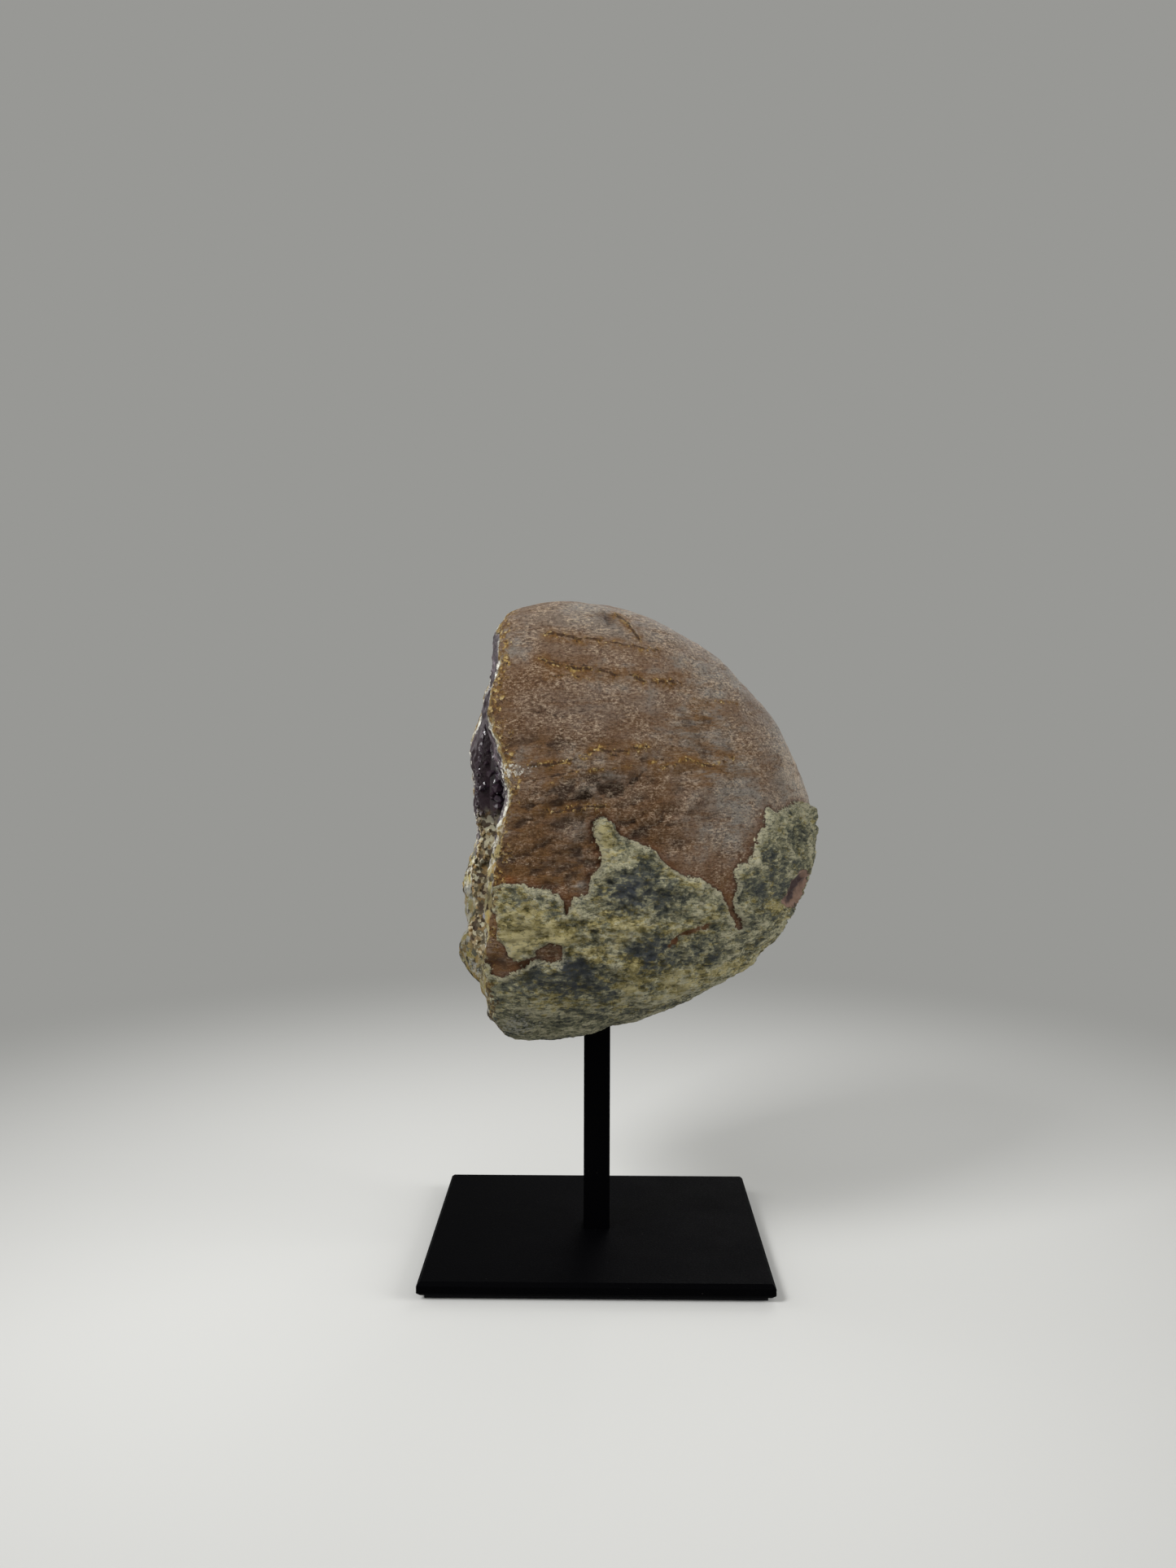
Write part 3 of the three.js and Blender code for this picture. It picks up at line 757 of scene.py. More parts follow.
    def rind_relief(self, place: Array, layers: dict[Layer, Array]) -> Array:
        """Give the relief of the rind: a ledge at its edge, terraces, lumps and pits."""
        depth = layers[Layer.RIND]
        share = smooth_step(depth, -0.25, 0.7)
        rough = self.rind_height * (1 + 0.25 * bell(depth - 1.2, 1.2))
        steps = clouds(place, (12.0, 12.0, 7.0), 4, 6.1) * 3
        rough += 0.45 * (np.floor(steps) + smooth_step(steps - np.floor(steps), 0.35, 0.65)) / 3
        near = SideChart().place(place)
        line = np.array(self.markings.ledge)
        over = near[:, 1] - np.interp(near[:, 0], line[:, 0], line[:, 1])
        reach = smooth_step(near[:, 0], line[0, 0] - 3, line[0, 0]) * (1 - smooth_step(near[:, 0], 38, 44))
        step = smooth_step(over + 0.3 * clouds(place, 3.0, 3, 2.7), -0.3, 0.4)
        step *= np.exp(-np.maximum(over, 0) / 9)
        rough += 0.55 * step * reach * (place[:, 0] > 0)
        return share * rough

    def drill(self, place: Array) -> Array:
        """Push the underside up into the drilled hole for the post."""
        out = np.hypot(place[:, 0], place[:, 1])
        under = (place[:, 2] < self.socket_top) & (out < self.mouth_radius)
        slope = self.mouth_height + (self.mouth_radius - out) * self.mouth_slope
        level = np.where(out < self.socket_radius, self.socket_top, slope)
        raised = place.copy()
        raised[:, 2] = np.where(under, np.maximum(place[:, 2], level), place[:, 2])
        return raised


def placed(name: str, body: bmesh.types.BMesh) -> bpy.types.Object:
    """Turn a bmesh into an object at the origin, and free it."""
    mesh = bpy.data.meshes.new(name)
    body.to_mesh(mesh)
    body.free()
    made = bpy.data.objects.new(name, mesh)
    bpy.context.scene.collection.objects.link(made)
    return made


def hand_over(piece: bpy.types.Object, node: str, material: bpy.types.Material) -> None:
    """Dress a piece, let it stand for a node and report it.

    Args:
        piece: The finished piece.
        node: The node that it replaces.
        material: Its finish.
    """
    piece.data.materials.clear()
    piece.data.materials.append(material)
    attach(piece, BODY)
    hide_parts(node)
    log.info("%s stands for %s with %d faces", piece.name, node, len(piece.data.polygons))


# The crust of crystals


@dataclass
class CrystalCrust:
    """The crust of quartz points that lines the hollow."""

    nodule: Nodule
    wall_gap: float = 0.3
    wall_thickness: float = 2.4
    wall_cells: int = 36
    edge_share: float = 0.985
    points: int = 1900
    lip_points: int = 300
    sides: int = 6
    small_radius: float = 1.4
    large_radius: float = 4.8
    crowding: float = 2.8
    lip_radii: Point = (0.8, 1.5)
    lip_gap: float = 0.4
    tallness: Point = (0.8, 1.6)
    peak_height: Point = (0.7, 1.1)
    peak_shift: float = 0.35
    peak_foot: float = 0.55
    taper: float = 0.92
    flatness: Point = (0.7, 1.0)
    standing: float = 0.3
    root_share: float = 0.6
    lip_shrink: float = 0.6
    shrink_range: Point = (0.65, 0.95)
    angle_jitter: float = 0.03
    share_jitter: float = 0.01
    forward_lean: float = 0.25
    lean: float = 0.2
    batch: int = 50
    seed: int = 41

    def build(self) -> bpy.types.Object:
        """Make the crust as one mesh, with layers from root to tip and from middle to lip.

        Returns:
            The crust, without a material.
        """
        crust = bmesh.new()
        crust.verts.layers.float.new(Layer.TIP.value)
        crust.verts.layers.float.new(Layer.LIP.value)
        self.add_wall(crust)
        rng = np.random.default_rng(self.seed)
        feet, inwards, shares, sizes = self.places(rng)
        for first in range(0, len(feet), self.batch):
            cluster = bmesh.new()
            tip = cluster.verts.layers.float.new(Layer.TIP.value)
            lip = cluster.verts.layers.float.new(Layer.LIP.value)
            for index in range(first, min(first + self.batch, len(feet))):
                verts = self.add_point(cluster, tip, feet[index], inwards[index], sizes[index], rng)
                for vertex in verts:
                    vertex[lip] = shares[index]
            mesh = bpy.data.meshes.new("cluster")
            cluster.to_mesh(mesh)
            cluster.free()
            crust.from_mesh(mesh)
            bpy.data.meshes.remove(mesh)
        return placed("crystal_lining", crust)

    def places(self, rng: np.random.Generator) -> tuple[Array, Array, Array, Array]:
        """Spread the points evenly over the hollow's wall, with a fringe of small ones at the lip.

        Args:
            rng: The source of their chance features.

        Returns:
            The places of their feet, the ways they point, their shares of the way to the lip, and
            their radii.
        """
        index = np.arange(self.points)
        golden = math.pi * (3 - math.sqrt(5))
        turn = np.arccos(1 - (index + 0.5) / self.points)
        angle = index * golden + rng.normal(0, self.angle_jitter, self.points)
        share = turn / (math.pi / 2) + rng.normal(0, self.share_jitter, self.points)
        share = np.clip(share, 0, 0.99)
        spread = self.large_radius - self.small_radius
        size = self.small_radius + spread * rng.random(self.points) ** self.crowding
        size *= 1 - self.lip_shrink * smooth_step(share, *self.shrink_range)
        inset = np.full(self.points, self.wall_gap + self.wall_thickness * self.root_share)
        fringe = np.arange(self.lip_points) / self.lip_points * math.tau
        angle = np.append(angle, fringe + rng.normal(0, self.share_jitter, self.lip_points))
        turn = np.append(turn, np.full(self.lip_points, math.pi / 2))
        share = np.append(share, np.full(self.lip_points, self.edge_share))
        size = np.append(size, rng.uniform(*self.lip_radii, self.lip_points))
        inset = np.append(inset, np.full(self.lip_points, self.lip_gap))
        feet = self.nodule.hollow(angle, share, inset)
        spoke = self.nodule.lip(angle) - self.nodule.hollow_middle
        spoke /= np.linalg.norm(spoke, axis=1)[:, None]
        inwards = np.outer(np.cos(turn) + self.forward_lean, self.nodule.forwards)
        inwards -= spoke * np.sin(turn)[:, None]
        inwards /= np.linalg.norm(inwards, axis=1)[:, None]
        inwards += rng.normal(0, self.lean, (len(angle), 3))
        return feet, inwards, share, size

    def add_wall(self, crust: bmesh.types.BMesh) -> None:
        """Add the thin bowl that the points stand on."""
        made = bmesh.ops.create_grid(crust, x_segments=self.wall_cells, y_segments=self.wall_cells, size=1.0)
        flat = np.array([vertex.co for vertex in made["verts"]])
        distance, angle = disc_from_square(flat[:, 0], flat[:, 1])
        place = self.nodule.hollow(angle, distance * self.edge_share, self.wall_gap)
        lip = crust.verts.layers.float[Layer.LIP.value]
        for vertex, point, share in zip(made["verts"], place * MM, distance):
            vertex.co = point
            vertex[lip] = share
        faces = crust.faces[:]
        bmesh.ops.recalc_face_normals(crust, faces=faces)
        towards = Vector(self.nodule.forwards)
        if faces[len(faces) // 2].normal.dot(towards) < 0:
            bmesh.ops.reverse_faces(crust, faces=faces)
        bmesh.ops.solidify(crust, geom=faces, thickness=-self.wall_thickness * MM)
        bmesh.ops.recalc_face_normals(crust, faces=crust.faces[:])

    def add_point(
        self, cluster: bmesh.types.BMesh, tip: bmesh.types.BMLayerItem, foot: Array, inwards: Array,
        size: float, rng: np.random.Generator,
    ) -> list[bmesh.types.BMVert]:
        """Add one six-sided point with its foot in the wall.

        Args:
            cluster: The mesh that it joins.
            tip: The layer that runs from 0 at a root to 1 at a tip.
            foot: Where it grows from.
            inwards: The way it points.
            size: Its radius at the foot.
            rng: The source of its chance features.

        Returns:
            Its mesh points.
        """
        height = size * rng.uniform(*self.tallness)
        shoulder = size * self.taper
        made = bmesh.ops.create_cone(
            cluster, cap_ends=True, segments=self.sides, radius1=size, radius2=shoulder, depth=height
        )["verts"]
        faces = {face for vertex in made for face in vertex.link_faces}
        top = max(faces, key=lambda face: face.calc_center_median().z)
        rise = size * rng.uniform(*self.peak_height)
        peak = bmesh.ops.poke(cluster, faces=[top], offset=rise)["verts"][0]
        peak.co.x += size * rng.uniform(-self.peak_shift, self.peak_shift)
        peak.co.y += size * rng.uniform(-self.peak_shift, self.peak_shift)
        for vertex in made:
            vertex[tip] = 0.0 if vertex.co.z < 0 else self.peak_foot
        peak[tip] = 1.0
        squeeze = Matrix.Diagonal((1.0, rng.uniform(*self.flatness), 1.0, 1.0))
        spin = Matrix.Rotation(rng.uniform(0, math.tau), 4, "Z")
        lean = Vector(inwards).to_track_quat("Z", "Y").to_matrix().to_4x4()
        lift = Matrix.Translation(Vector((0, 0, height * self.standing)))
        sized = Matrix.Scale(MM, 4) @ Matrix.Translation(Vector(foot)) @ lean @ spin @ squeeze @ lift
        bmesh.ops.transform(cluster, matrix=sized, verts=[*made, peak])
        return [*made, peak]


# The stand


@dataclass
class Stand:
    """The post, the plate and the small parts that hold the stone."""

    edge_round: float = 0.14
    round_segments: int = 2
    sharp_angle: float = math.radians(25)
    glue_foot: float = 68.4
    glue_top: float = 89.4
    glue_foot_radius: float = 5.6
    glue_radius: float = 6.1
    glue_sides: int = 48
    glue_rings: int = 10
    post_reach: float = 4.02
    post_top: float = 88.3
    lumps_below: float = 75.0
    lump_size: float = 3.2
    lump_height: float = 0.5

    def rounded(self, node: str, name: str) -> bpy.types.Object:
        """Copy a node's solid, merge it and round its sharp edges.

        Args:
            node: The node to copy.
            name: The name of the new piece.

        Returns:
            The rounded copy.
        """
        body = bmesh.new()
        body.from_mesh(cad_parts[node].data)
        bmesh.ops.remove_doubles(body, verts=body.verts[:], dist=0.01 * MM)
        bmesh.ops.dissolve_limit(body, angle_limit=0.01, verts=body.verts[:], edges=body.edges[:])
        made = placed(name, body)
        bevel = made.modifiers.new("rounded_edges", "BEVEL")
        bevel.width = self.edge_round * MM
        bevel.segments = self.round_segments
        bevel.limit_method = "ANGLE"
        bevel.angle_limit = self.sharp_angle
        return made

    def glue(self) -> bpy.types.Object:
        """Make the lumpy collar of glue round the post, in the mouth of the drilled hole.

        Returns:
            The collar, without a material.
        """
        collar = bmesh.new()
        radius = self.glue_foot_radius * MM
        ring = bmesh.ops.create_circle(collar, segments=self.glue_sides, radius=radius)["verts"]
        bmesh.ops.translate(collar, verts=ring, vec=Vector((0, 0, self.glue_foot * MM)))
        first = list({edge for vertex in ring for edge in vertex.link_edges})
        hem = bmesh.ops.extrude_edge_only(collar, edges=first)["geom"]
        bar = [part for part in hem if isinstance(part, bmesh.types.BMVert)]
        for vertex in bar:
            direction = Vector((vertex.co.x, vertex.co.y))
            reach = max(abs(direction.x), abs(direction.y))
            vertex.co.x *= self.post_reach * MM / reach
            vertex.co.y *= self.post_reach * MM / reach
        edges = first
        for step in range(1, self.glue_rings + 1):
            share = step / self.glue_rings
            grown = bmesh.ops.extrude_edge_only(collar, edges=edges)["geom"]
            verts = [part for part in grown if isinstance(part, bmesh.types.BMVert)]
            edges = [part for part in grown if isinstance(part, bmesh.types.BMEdge)]
            radius = self.glue_foot_radius + (self.glue_radius - self.glue_foot_radius) * min(1, share * 4)
            for vertex in verts:
                flat = Vector((vertex.co.x, vertex.co.y, 0)).normalized()
                vertex.co = flat * radius * MM
                vertex.co.z = (self.glue_foot + (self.glue_top - self.glue_foot) * share) * MM
        bmesh.ops.contextual_create(collar, geom=edges)
        wall = self.close_on_post(collar, bar)
        for vertex in collar.verts:
            if vertex in wall or vertex.co.z > self.lumps_below * MM:
                continue
            bulge = float(ripple(np.array([vertex.co]) / (self.lump_size * MM))[0])
            vertex.co.z += bulge * self.lump_height * MM
        bmesh.ops.recalc_face_normals(collar, faces=collar.faces[:])
        for face in collar.faces:
            face.smooth = len(face.verts) == 4
        return placed("glue_collar", collar)

    def close_on_post(
        self, collar: bmesh.types.BMesh, ring: list[bmesh.types.BMVert]
    ) -> set[bmesh.types.BMVert]:
        """Run the collar's inner edge up along the post and close it over the post's top.

        Args:
            collar: The mesh of the collar.
            ring: Its inner ring of points, round the post.

        Returns:
            The points that lie on the post.
        """
        inner = set(ring)
        edges = [edge for edge in collar.edges if edge.verts[0] in inner and edge.verts[1] in inner]
        grown = bmesh.ops.extrude_edge_only(collar, edges=edges)["geom"]
        top = [part for part in grown if isinstance(part, bmesh.types.BMVert)]
        for vertex in top:
            vertex.co.z = self.post_top * MM
        last = [part for part in grown if isinstance(part, bmesh.types.BMEdge)]
        bmesh.ops.contextual_create(collar, geom=last)
        return inner | set(top)


# Finishes


FLAT: Triple = (1.0, 1.0, 2.2)
STREAKED: Triple = (0.5, 0.5, 2.6)


class Sheet:
    """A node tree that is filled in from left to right.

    Its noises and groups read the place on the object in millimetres. A finish may set
    another place once, such as a stretched one.
    """

    def __init__(self, tree: bpy.types.NodeTree) -> None:
        """Take the tree to fill."""
        self.tree = tree

    def feed(self, socket: Socket, value: Feed) -> None:
        """Link a socket into another, or set its plain value."""
        if isinstance(value, bpy.types.NodeSocket):
            self.tree.links.new(value, socket)
        else:
            socket.default_value = value

    def node(self, kind: str, feeds: Optional[dict] = None, **settings: object) -> bpy.types.Node:
        """Add a node.

        Args:
            kind: The end of the node's type, after ShaderNode.
            feeds: What goes into its inputs, by name or number.
            settings: Its own settings.

        Returns:
            The node.
        """
        made = self.tree.nodes.new("ShaderNode" + kind)
        for name, value in settings.items():
            setattr(made, name, value)
        for name, value in (feeds or {}).items():
            self.feed(made.inputs[name], value)
        return made

    def math(self, operation: str, first: Feed, second: Feed = 0.0, clamp: bool = False) -> Socket:
        """Work out a sum of one or two values."""
        return self.node("Math", {0: first, 1: second}, operation=operation, use_clamp=clamp).outputs[0]

    def times(self, first: Feed, second: Feed, clamp: bool = False) -> Socket:
        """Multiply two values."""
        return self.math("MULTIPLY", first, second, clamp)

    def plus(self, first: Feed, second: Feed, clamp: bool = False) -> Socket:
        """Add two values."""
        return self.math("ADD", first, second, clamp)

    def minus(self, first: Feed, second: Feed, clamp: bool = False) -> Socket:
        """Take the second value from the first."""
        return self.math("SUBTRACT", first, second, clamp)

    def step(self, value: Feed, low: float, high: float) -> Socket:
        """Rise smoothly from 0 at low to 1 at high."""
        feeds = {0: value, 1: low, 2: high}
        return self.node("MapRange", feeds, interpolation_type="SMOOTHSTEP").outputs[0]

    def blend(self, share: Feed, first: Feed, second: Feed) -> Socket:
        """Mix two numbers."""
        return self.node("Mix", {0: share, 2: first, 3: second}, data_type="FLOAT").outputs[0]

    def mix(self, share: Feed, first: Feed, second: Feed) -> Socket:
        """Mix two colours."""
        return self.node("Mix", {0: share, 6: first, 7: second}, data_type="RGBA").outputs[2]

    def lay(self, colour: Feed, tint: Feed, share: Feed, strength: float) -> Socket:
        """Lay a tint over a colour where the share says, no stronger than strength."""
        return self.mix(self.times(share, strength), colour, tint)

    def ramp(self, share: Feed, stops: Sequence[tuple[float, Colour]]) -> Socket:
        """Read a colour off a row of colours.

        Args:
            share: Where to read, 0 to 1.
            stops: Places and colours, in order.

        Returns:
            The colour.
        """
        made = self.node("ValToRGB", {0: share})
        ramp = made.color_ramp
        ramp.elements[0].position, ramp.elements[0].color = stops[0]
        ramp.elements[1].position, ramp.elements[1].color = stops[-1]
        for place, colour in stops[1:-1]:
            ramp.elements.new(place).color = colour
        return made.outputs[0]

    def layer(self, layer: Layer) -> Socket:
        """Read a stored layer of the mesh."""
        return self.node("Attribute", attribute_name=layer.value).outputs["Fac"]

    def scaled(self, vector: Socket, scale: Feed) -> Socket:
        """Multiply a vector by a number."""
        return self.node("VectorMath", {0: vector, "Scale": scale}, operation="SCALE").outputs[0]

    @cached_property
    def place(self) -> Socket:
        """The place on the object in millimetres."""
        return self.scaled(self.node("TexCoord").outputs["Object"], 1 / MM)

    def axis(self, name: str) -> Socket:
        """Give one coordinate of the place."""
        return self.node("SeparateXYZ", {0: self.place}).outputs[name]

    def stretched(self, factors: Optional[Triple]) -> Socket:
        """Squeeze or stretch the place along the axes, or leave it."""
        if factors is None:
            return self.place
        return self.node("VectorMath", {0: self.place, 1: factors}, operation="MULTIPLY").outputs[0]

    def noise(
        self, vector: Socket, scale: Feed, detail: float, rough: float, warp: float = 0.0
    ) -> bpy.types.Node:
        """Add a noise texture."""
        feeds = {"Vector": vector, "Scale": scale, "Detail": detail, "Roughness": rough, "Distortion": warp}
        return self.node("TexNoise", feeds)

    def clouds(
        self, size: float, detail: float = 4.0, rough: float = 0.6, stretch: Optional[Triple] = None
    ) -> Socket:
        """Give cloudy noise of 0 to 1.

        Args:
            size: About how wide the clouds are, in millimetres.
            detail: How many finer layers are added up.
            rough: How strong the finer layers are.
            stretch: How much the place is squeezed along each axis.

        Returns:
            The noise.
        """
        return self.noise(self.stretched(stretch), 1 / size, detail, rough).outputs[0]

    def centred(self, value: Feed, spread: float) -> Socket:
        """Turn a value of 0 to 1 into one around 0, as wide as spread."""
        return self.times(self.minus(value, 0.5), spread)

    def group(self, name: str, **feeds: Feed) -> bpy.types.Node:
        """Place a shared group and feed its inputs."""
        made = self.node("Group")
        made.node_tree = bpy.data.node_groups[name]
        for label, value in feeds.items():
            self.feed(made.inputs[label], value)
        return made

    def ragged(self, gap: Feed, wobble: float, softness: float) -> Socket:
        """Mask where a distance is above 0, with a ragged edge."""
        made = self.group("ragged_edge", Place=self.place, Gap=gap, Wobble=wobble, Softness=softness)
        return made.outputs[0]

    def flecks(self, size: float, share: Feed, softness: float) -> Socket:
        """Mask scattered flecks, more of them for a larger share."""
        return self.group("flecks", Place=self.place, Size=size, Share=share, Softness=softness).outputs[0]

    def crumbs(self, size: float, warp: float, stretch: Optional[Triple] = None) -> bpy.types.Node:
        """Break the surface up into crumbs, which have a tone and a height."""
        return self.group("crumbs", Place=self.stretched(stretch), Size=size, Warp=warp)


def group_sheet(
    name: str, inputs: dict[str, float], outputs: Sequence[str] = ("Mask",)
) -> tuple[Sheet, Sockets, Sockets]:
    """Start a shared node group that takes a place and some numbers.

    Args:
        name: The group's name.
        inputs: Its number inputs and their usual values.
        outputs: The names of the numbers that it gives.

    Returns:
        The sheet to fill, what the group is given and what it has to give.
    """
    tree = bpy.data.node_groups.new(name, "ShaderNodeTree")
    tree.interface.new_socket("Place", in_out="INPUT", socket_type="NodeSocketVector")
    for label, value in inputs.items():
        made = tree.interface.new_socket(label, in_out="INPUT", socket_type="NodeSocketFloat")
        made.default_value = value
    for label in outputs:
        tree.interface.new_socket(label, in_out="OUTPUT", socket_type="NodeSocketFloat")
    given = tree.nodes.new("NodeGroupInput")
    result = tree.nodes.new("NodeGroupOutput")
    return Sheet(tree), given.outputs, result.inputs


def build_flecks() -> None:
    """Build the group that scatters flecks of one size, more or fewer of them."""
    sheet, given, result = group_sheet("flecks", {"Size": 1.0, "Share": 0.3, "Softness": 0.08})
    scale = sheet.math("DIVIDE", 1.0, given["Size"])
    field = sheet.noise(given["Place"], scale, 3.0, 0.65).outputs[0]
    level = sheet.minus(0.78, sheet.times(given["Share"], 0.4))
    above = sheet.minus(field, level)
    sheet.feed(result["Mask"], sheet.math("DIVIDE", above, given["Softness"], clamp=True))


def build_edge() -> None:
    """Build the group that turns a stored distance into a mask with a ragged edge."""
    sheet, given, result = group_sheet("ragged_edge", {"Gap": 0.0, "Wobble": 0.6, "Softness": 0.2})
    field = sheet.minus(sheet.noise(given["Place"], 0.9, 4.0, 0.65).outputs[0], 0.5)
    shifted = sheet.plus(given["Gap"], sheet.times(field, given["Wobble"]))
    share = sheet.math("DIVIDE", shifted, given["Softness"])
    sheet.feed(result["Mask"], sheet.plus(share, 0.5, clamp=True))


def build_grain() -> None:
    """Build the group that gives a fine even grain as a height of 0 to 1."""
    sheet, given, result = group_sheet("fine_grain", {"Size": 0.3, "Contrast": 1.0})
    scale = sheet.math("DIVIDE", 1.0, given["Size"])
    feeds = {"Vector": given["Place"], "Scale": scale, "Randomness": 1.0}
    cells = sheet.node("TexVoronoi", feeds, feature="SMOOTH_F1").outputs["Distance"]
    centred = sheet.times(sheet.minus(cells, 0.4), given["Contrast"])
    sheet.feed(result["Mask"], sheet.minus(0.5, centred, clamp=True))


def build_crumbs() -> None:
    """Build the group that breaks a surface up into crumbs, each with a tone of its own."""
    sheet, given, result = group_sheet("crumbs", {"Size": 1.2, "Warp": 0.9}, ("Mask", "Height"))
    place = sheet.scaled(given["Place"], sheet.math("DIVIDE", 1.0, given["Size"]))
    drift = sheet.scaled(sheet.noise(place, 0.9, 4.0, 0.7).outputs["Color"], given["Warp"])
    moved = sheet.node("VectorMath", {0: place, 1: drift}, operation="ADD").outputs[0]
    cells = sheet.node("TexVoronoi", {"Vector": moved, "Scale": 1.0, "Randomness": 1.0}).outputs
    sheet.feed(result["Mask"], sheet.node("SeparateColor", {0: cells["Color"]}).outputs[0])
    sheet.feed(result["Height"], sheet.minus(1.0, cells["Distance"], clamp=True))


@dataclass(frozen=True)
class StoneFinish:
    """The look of the stone: brown skin, green rind, banded break and dark chip."""

    mauve: Colour = tone(118, 92, 71)
    brown: Colour = tone(101, 69, 39)
    grey: Colour = tone(130, 124, 116)
    ochre: Colour = tone(116, 79, 32)
    rust: Colour = tone(98, 56, 26)
    rust_bright: Colour = tone(124, 76, 38)
    amber: Colour = tone(164, 90, 24)
    # deep is the dark brown of cracks and stains; it also paints shade in furrows, hollows and at the rind's
    # foot.
    deep: Colour = tone(52, 34, 22)
    stroke: Colour = tone(196, 176, 151)
    gold: Colour = tone(186, 156, 90)
    gold_dull: Colour = tone(120, 92, 44)
    cream: Colour = tone(214, 194, 142)
    umber: Colour = tone(56, 34, 16)
    green_deep: Colour = tone(60, 63, 58)
    green_dark: Colour = tone(98, 101, 90)
    green: Colour = tone(138, 138, 113)
    green_pale: Colour = tone(182, 178, 140)
    green_light: Colour = tone(228, 222, 188)
    blue: Colour = tone(80, 86, 96)
    yellow_deep: Colour = tone(104, 96, 54)
    yellow: Colour = tone(188, 170, 98)
    yellow_light: Colour = tone(226, 212, 152)
    white: Colour = tone(222, 220, 208)
    chip: Colour = tone(46, 29, 28)
    chip_light: Colour = tone(112, 88, 74)
    agate_dark: Colour = tone(44, 34, 38)
    agate: Colour = tone(72, 60, 64)
    agate_light: Colour = tone(112, 102, 108)
    swirl_middle: Triple = (44.0, 22.0, 98.0)
    skin_roughness: float = 0.62
    rind_roughness: float = 0.8
    chip_roughness: float = 0.55
    break_roughness: float = 0.34
    specular: float = 0.22

    def build(self) -> bpy.types.Material:
        """Build the stone's material."""
        material, sheet, shader = blank_material("stone_finish")
        rind = sheet.ragged(sheet.layer(Layer.RIND), 2.6, 0.2)
        broken = sheet.minus(1.0, sheet.step(sheet.layer(Layer.BACK), -0.3, 0.3))
        chip = sheet.ragged(sheet.layer(Layer.CHIP), 1.4, 0.4)
        skin = self.skin_colour(sheet)
        skin = self.add_seams(sheet, skin)
        skin = self.stain_and_shade_by_rind(sheet, skin)
        colour = sheet.mix(rind, skin, self.rind_colour(sheet))
        colour = self.crust_by_rim(sheet, colour)
        colour = sheet.mix(chip, colour, self.chip_colour(sheet))
        colour = sheet.mix(broken, colour, self.break_colour(sheet))
        colour = self.add_white(sheet, colour)
        sheet.feed(shader.inputs["Base Color"], colour)
        smooth = self.bare_agate(sheet)
        sheet.feed(shader.inputs["Roughness"], self.roughness(sheet, rind, chip, smooth))
        shader.inputs["Specular IOR Level"].default_value = self.specular
        height = self.height(sheet, rind, sheet.math("MAXIMUM", smooth, chip))
        bump = sheet.node("Bump", {"Height": height, "Strength": 1.0, "Distance": MM})
        sheet.feed(shader.inputs["Normal"], bump.outputs[0])
        return material

    def crust(self, sheet: Sheet) -> Socket:
        """Colour the ochre crust of the seams and the rim: gold, cream and dark crumbs."""
        grains = sheet.crumbs(0.65, 1.2).outputs[0]
        stops = (
            (0.1, self.umber), (0.4, self.ochre), (0.7, self.gold_dull), (0.9, self.gold), (1.0, self.cream),
        )
        return sheet.ramp(grains, stops)

    def skin_colour(self, sheet: Sheet) -> Socket:
        """Colour the brown skin, with its stains, frost and strokes, plus painted sheen on the top, painted
        light at the right edge and painted shade in the furrows.
        """
        wide = sheet.clouds(22.0, 6.0, 0.7)
        colour = sheet.ramp(wide, ((0.38, self.brown), (0.5, self.mauve), (0.62, self.grey)))
        # Grey over the pale patches: frost, and painted sheen on the top.
        pale = sheet.layer(Layer.PALE_AND_PAINTED_LIGHT)
        colour = sheet.mix(sheet.times(pale, 0.75, clamp=True), colour, self.grey)
        # Painted light: the pale stroke colour laid where the pale patches are strongest, mostly at the right
        # edge.
        painted_edge_light = sheet.times(sheet.step(pale, 0.9, 1.7), sheet.step(wide, 0.42, 0.6))
        colour = sheet.lay(colour, self.stroke, painted_edge_light, 0.85)
        streaks = sheet.clouds(7.0, 8.0, 0.78, STREAKED)
        colour = sheet.lay(colour, self.brown, sheet.step(streaks, 0.49, 0.62), 0.7)
        patchy = sheet.step(streaks, 0.38, 0.58)
        warm = sheet.times(sheet.layer(Layer.WARM), patchy, clamp=True)
        colour = sheet.lay(colour, self.ochre, warm, 0.8)
        glow = sheet.step(sheet.layer(Layer.WARM), 1.5, 2.2)
        colour = sheet.lay(colour, self.amber, glow, 0.7)
        # Dark patches: dark brown stain, and painted shade in the furrows.
        dark = sheet.times(sheet.layer(Layer.DARK_AND_PAINTED_SHADE), patchy, clamp=True)
        colour = sheet.lay(colour, self.deep, dark, 0.5)
        # Painted shade: the low parts of the lumps and furrows are darkened.
        lumps = sheet.layer(Layer.LUMP)
        colour = sheet.lay(colour, self.deep, sheet.step(lumps, -0.05, -0.7), 0.75)
        weave = sheet.clouds(1.15, 6.0, 0.85, FLAT)
        frost = sheet.step(sheet.clouds(8.0, 4.0, 0.65), 0.38, 0.62)
        share = sheet.times(sheet.step(weave, 0.49, 0.6), sheet.plus(frost, 0.25))
        share = sheet.times(share, sheet.minus(0.78, sheet.times(warm, 0.6)))
        colour = sheet.mix(share, colour, self.stroke)
        colour = sheet.lay(colour, self.deep, sheet.step(weave, 0.49, 0.38), 0.8)
        some = sheet.plus(sheet.times(warm, 0.1), 0.1)
        grains = sheet.flecks(1.5, some, 0.04)
        return sheet.lay(colour, self.crust(sheet), grains, 0.8)

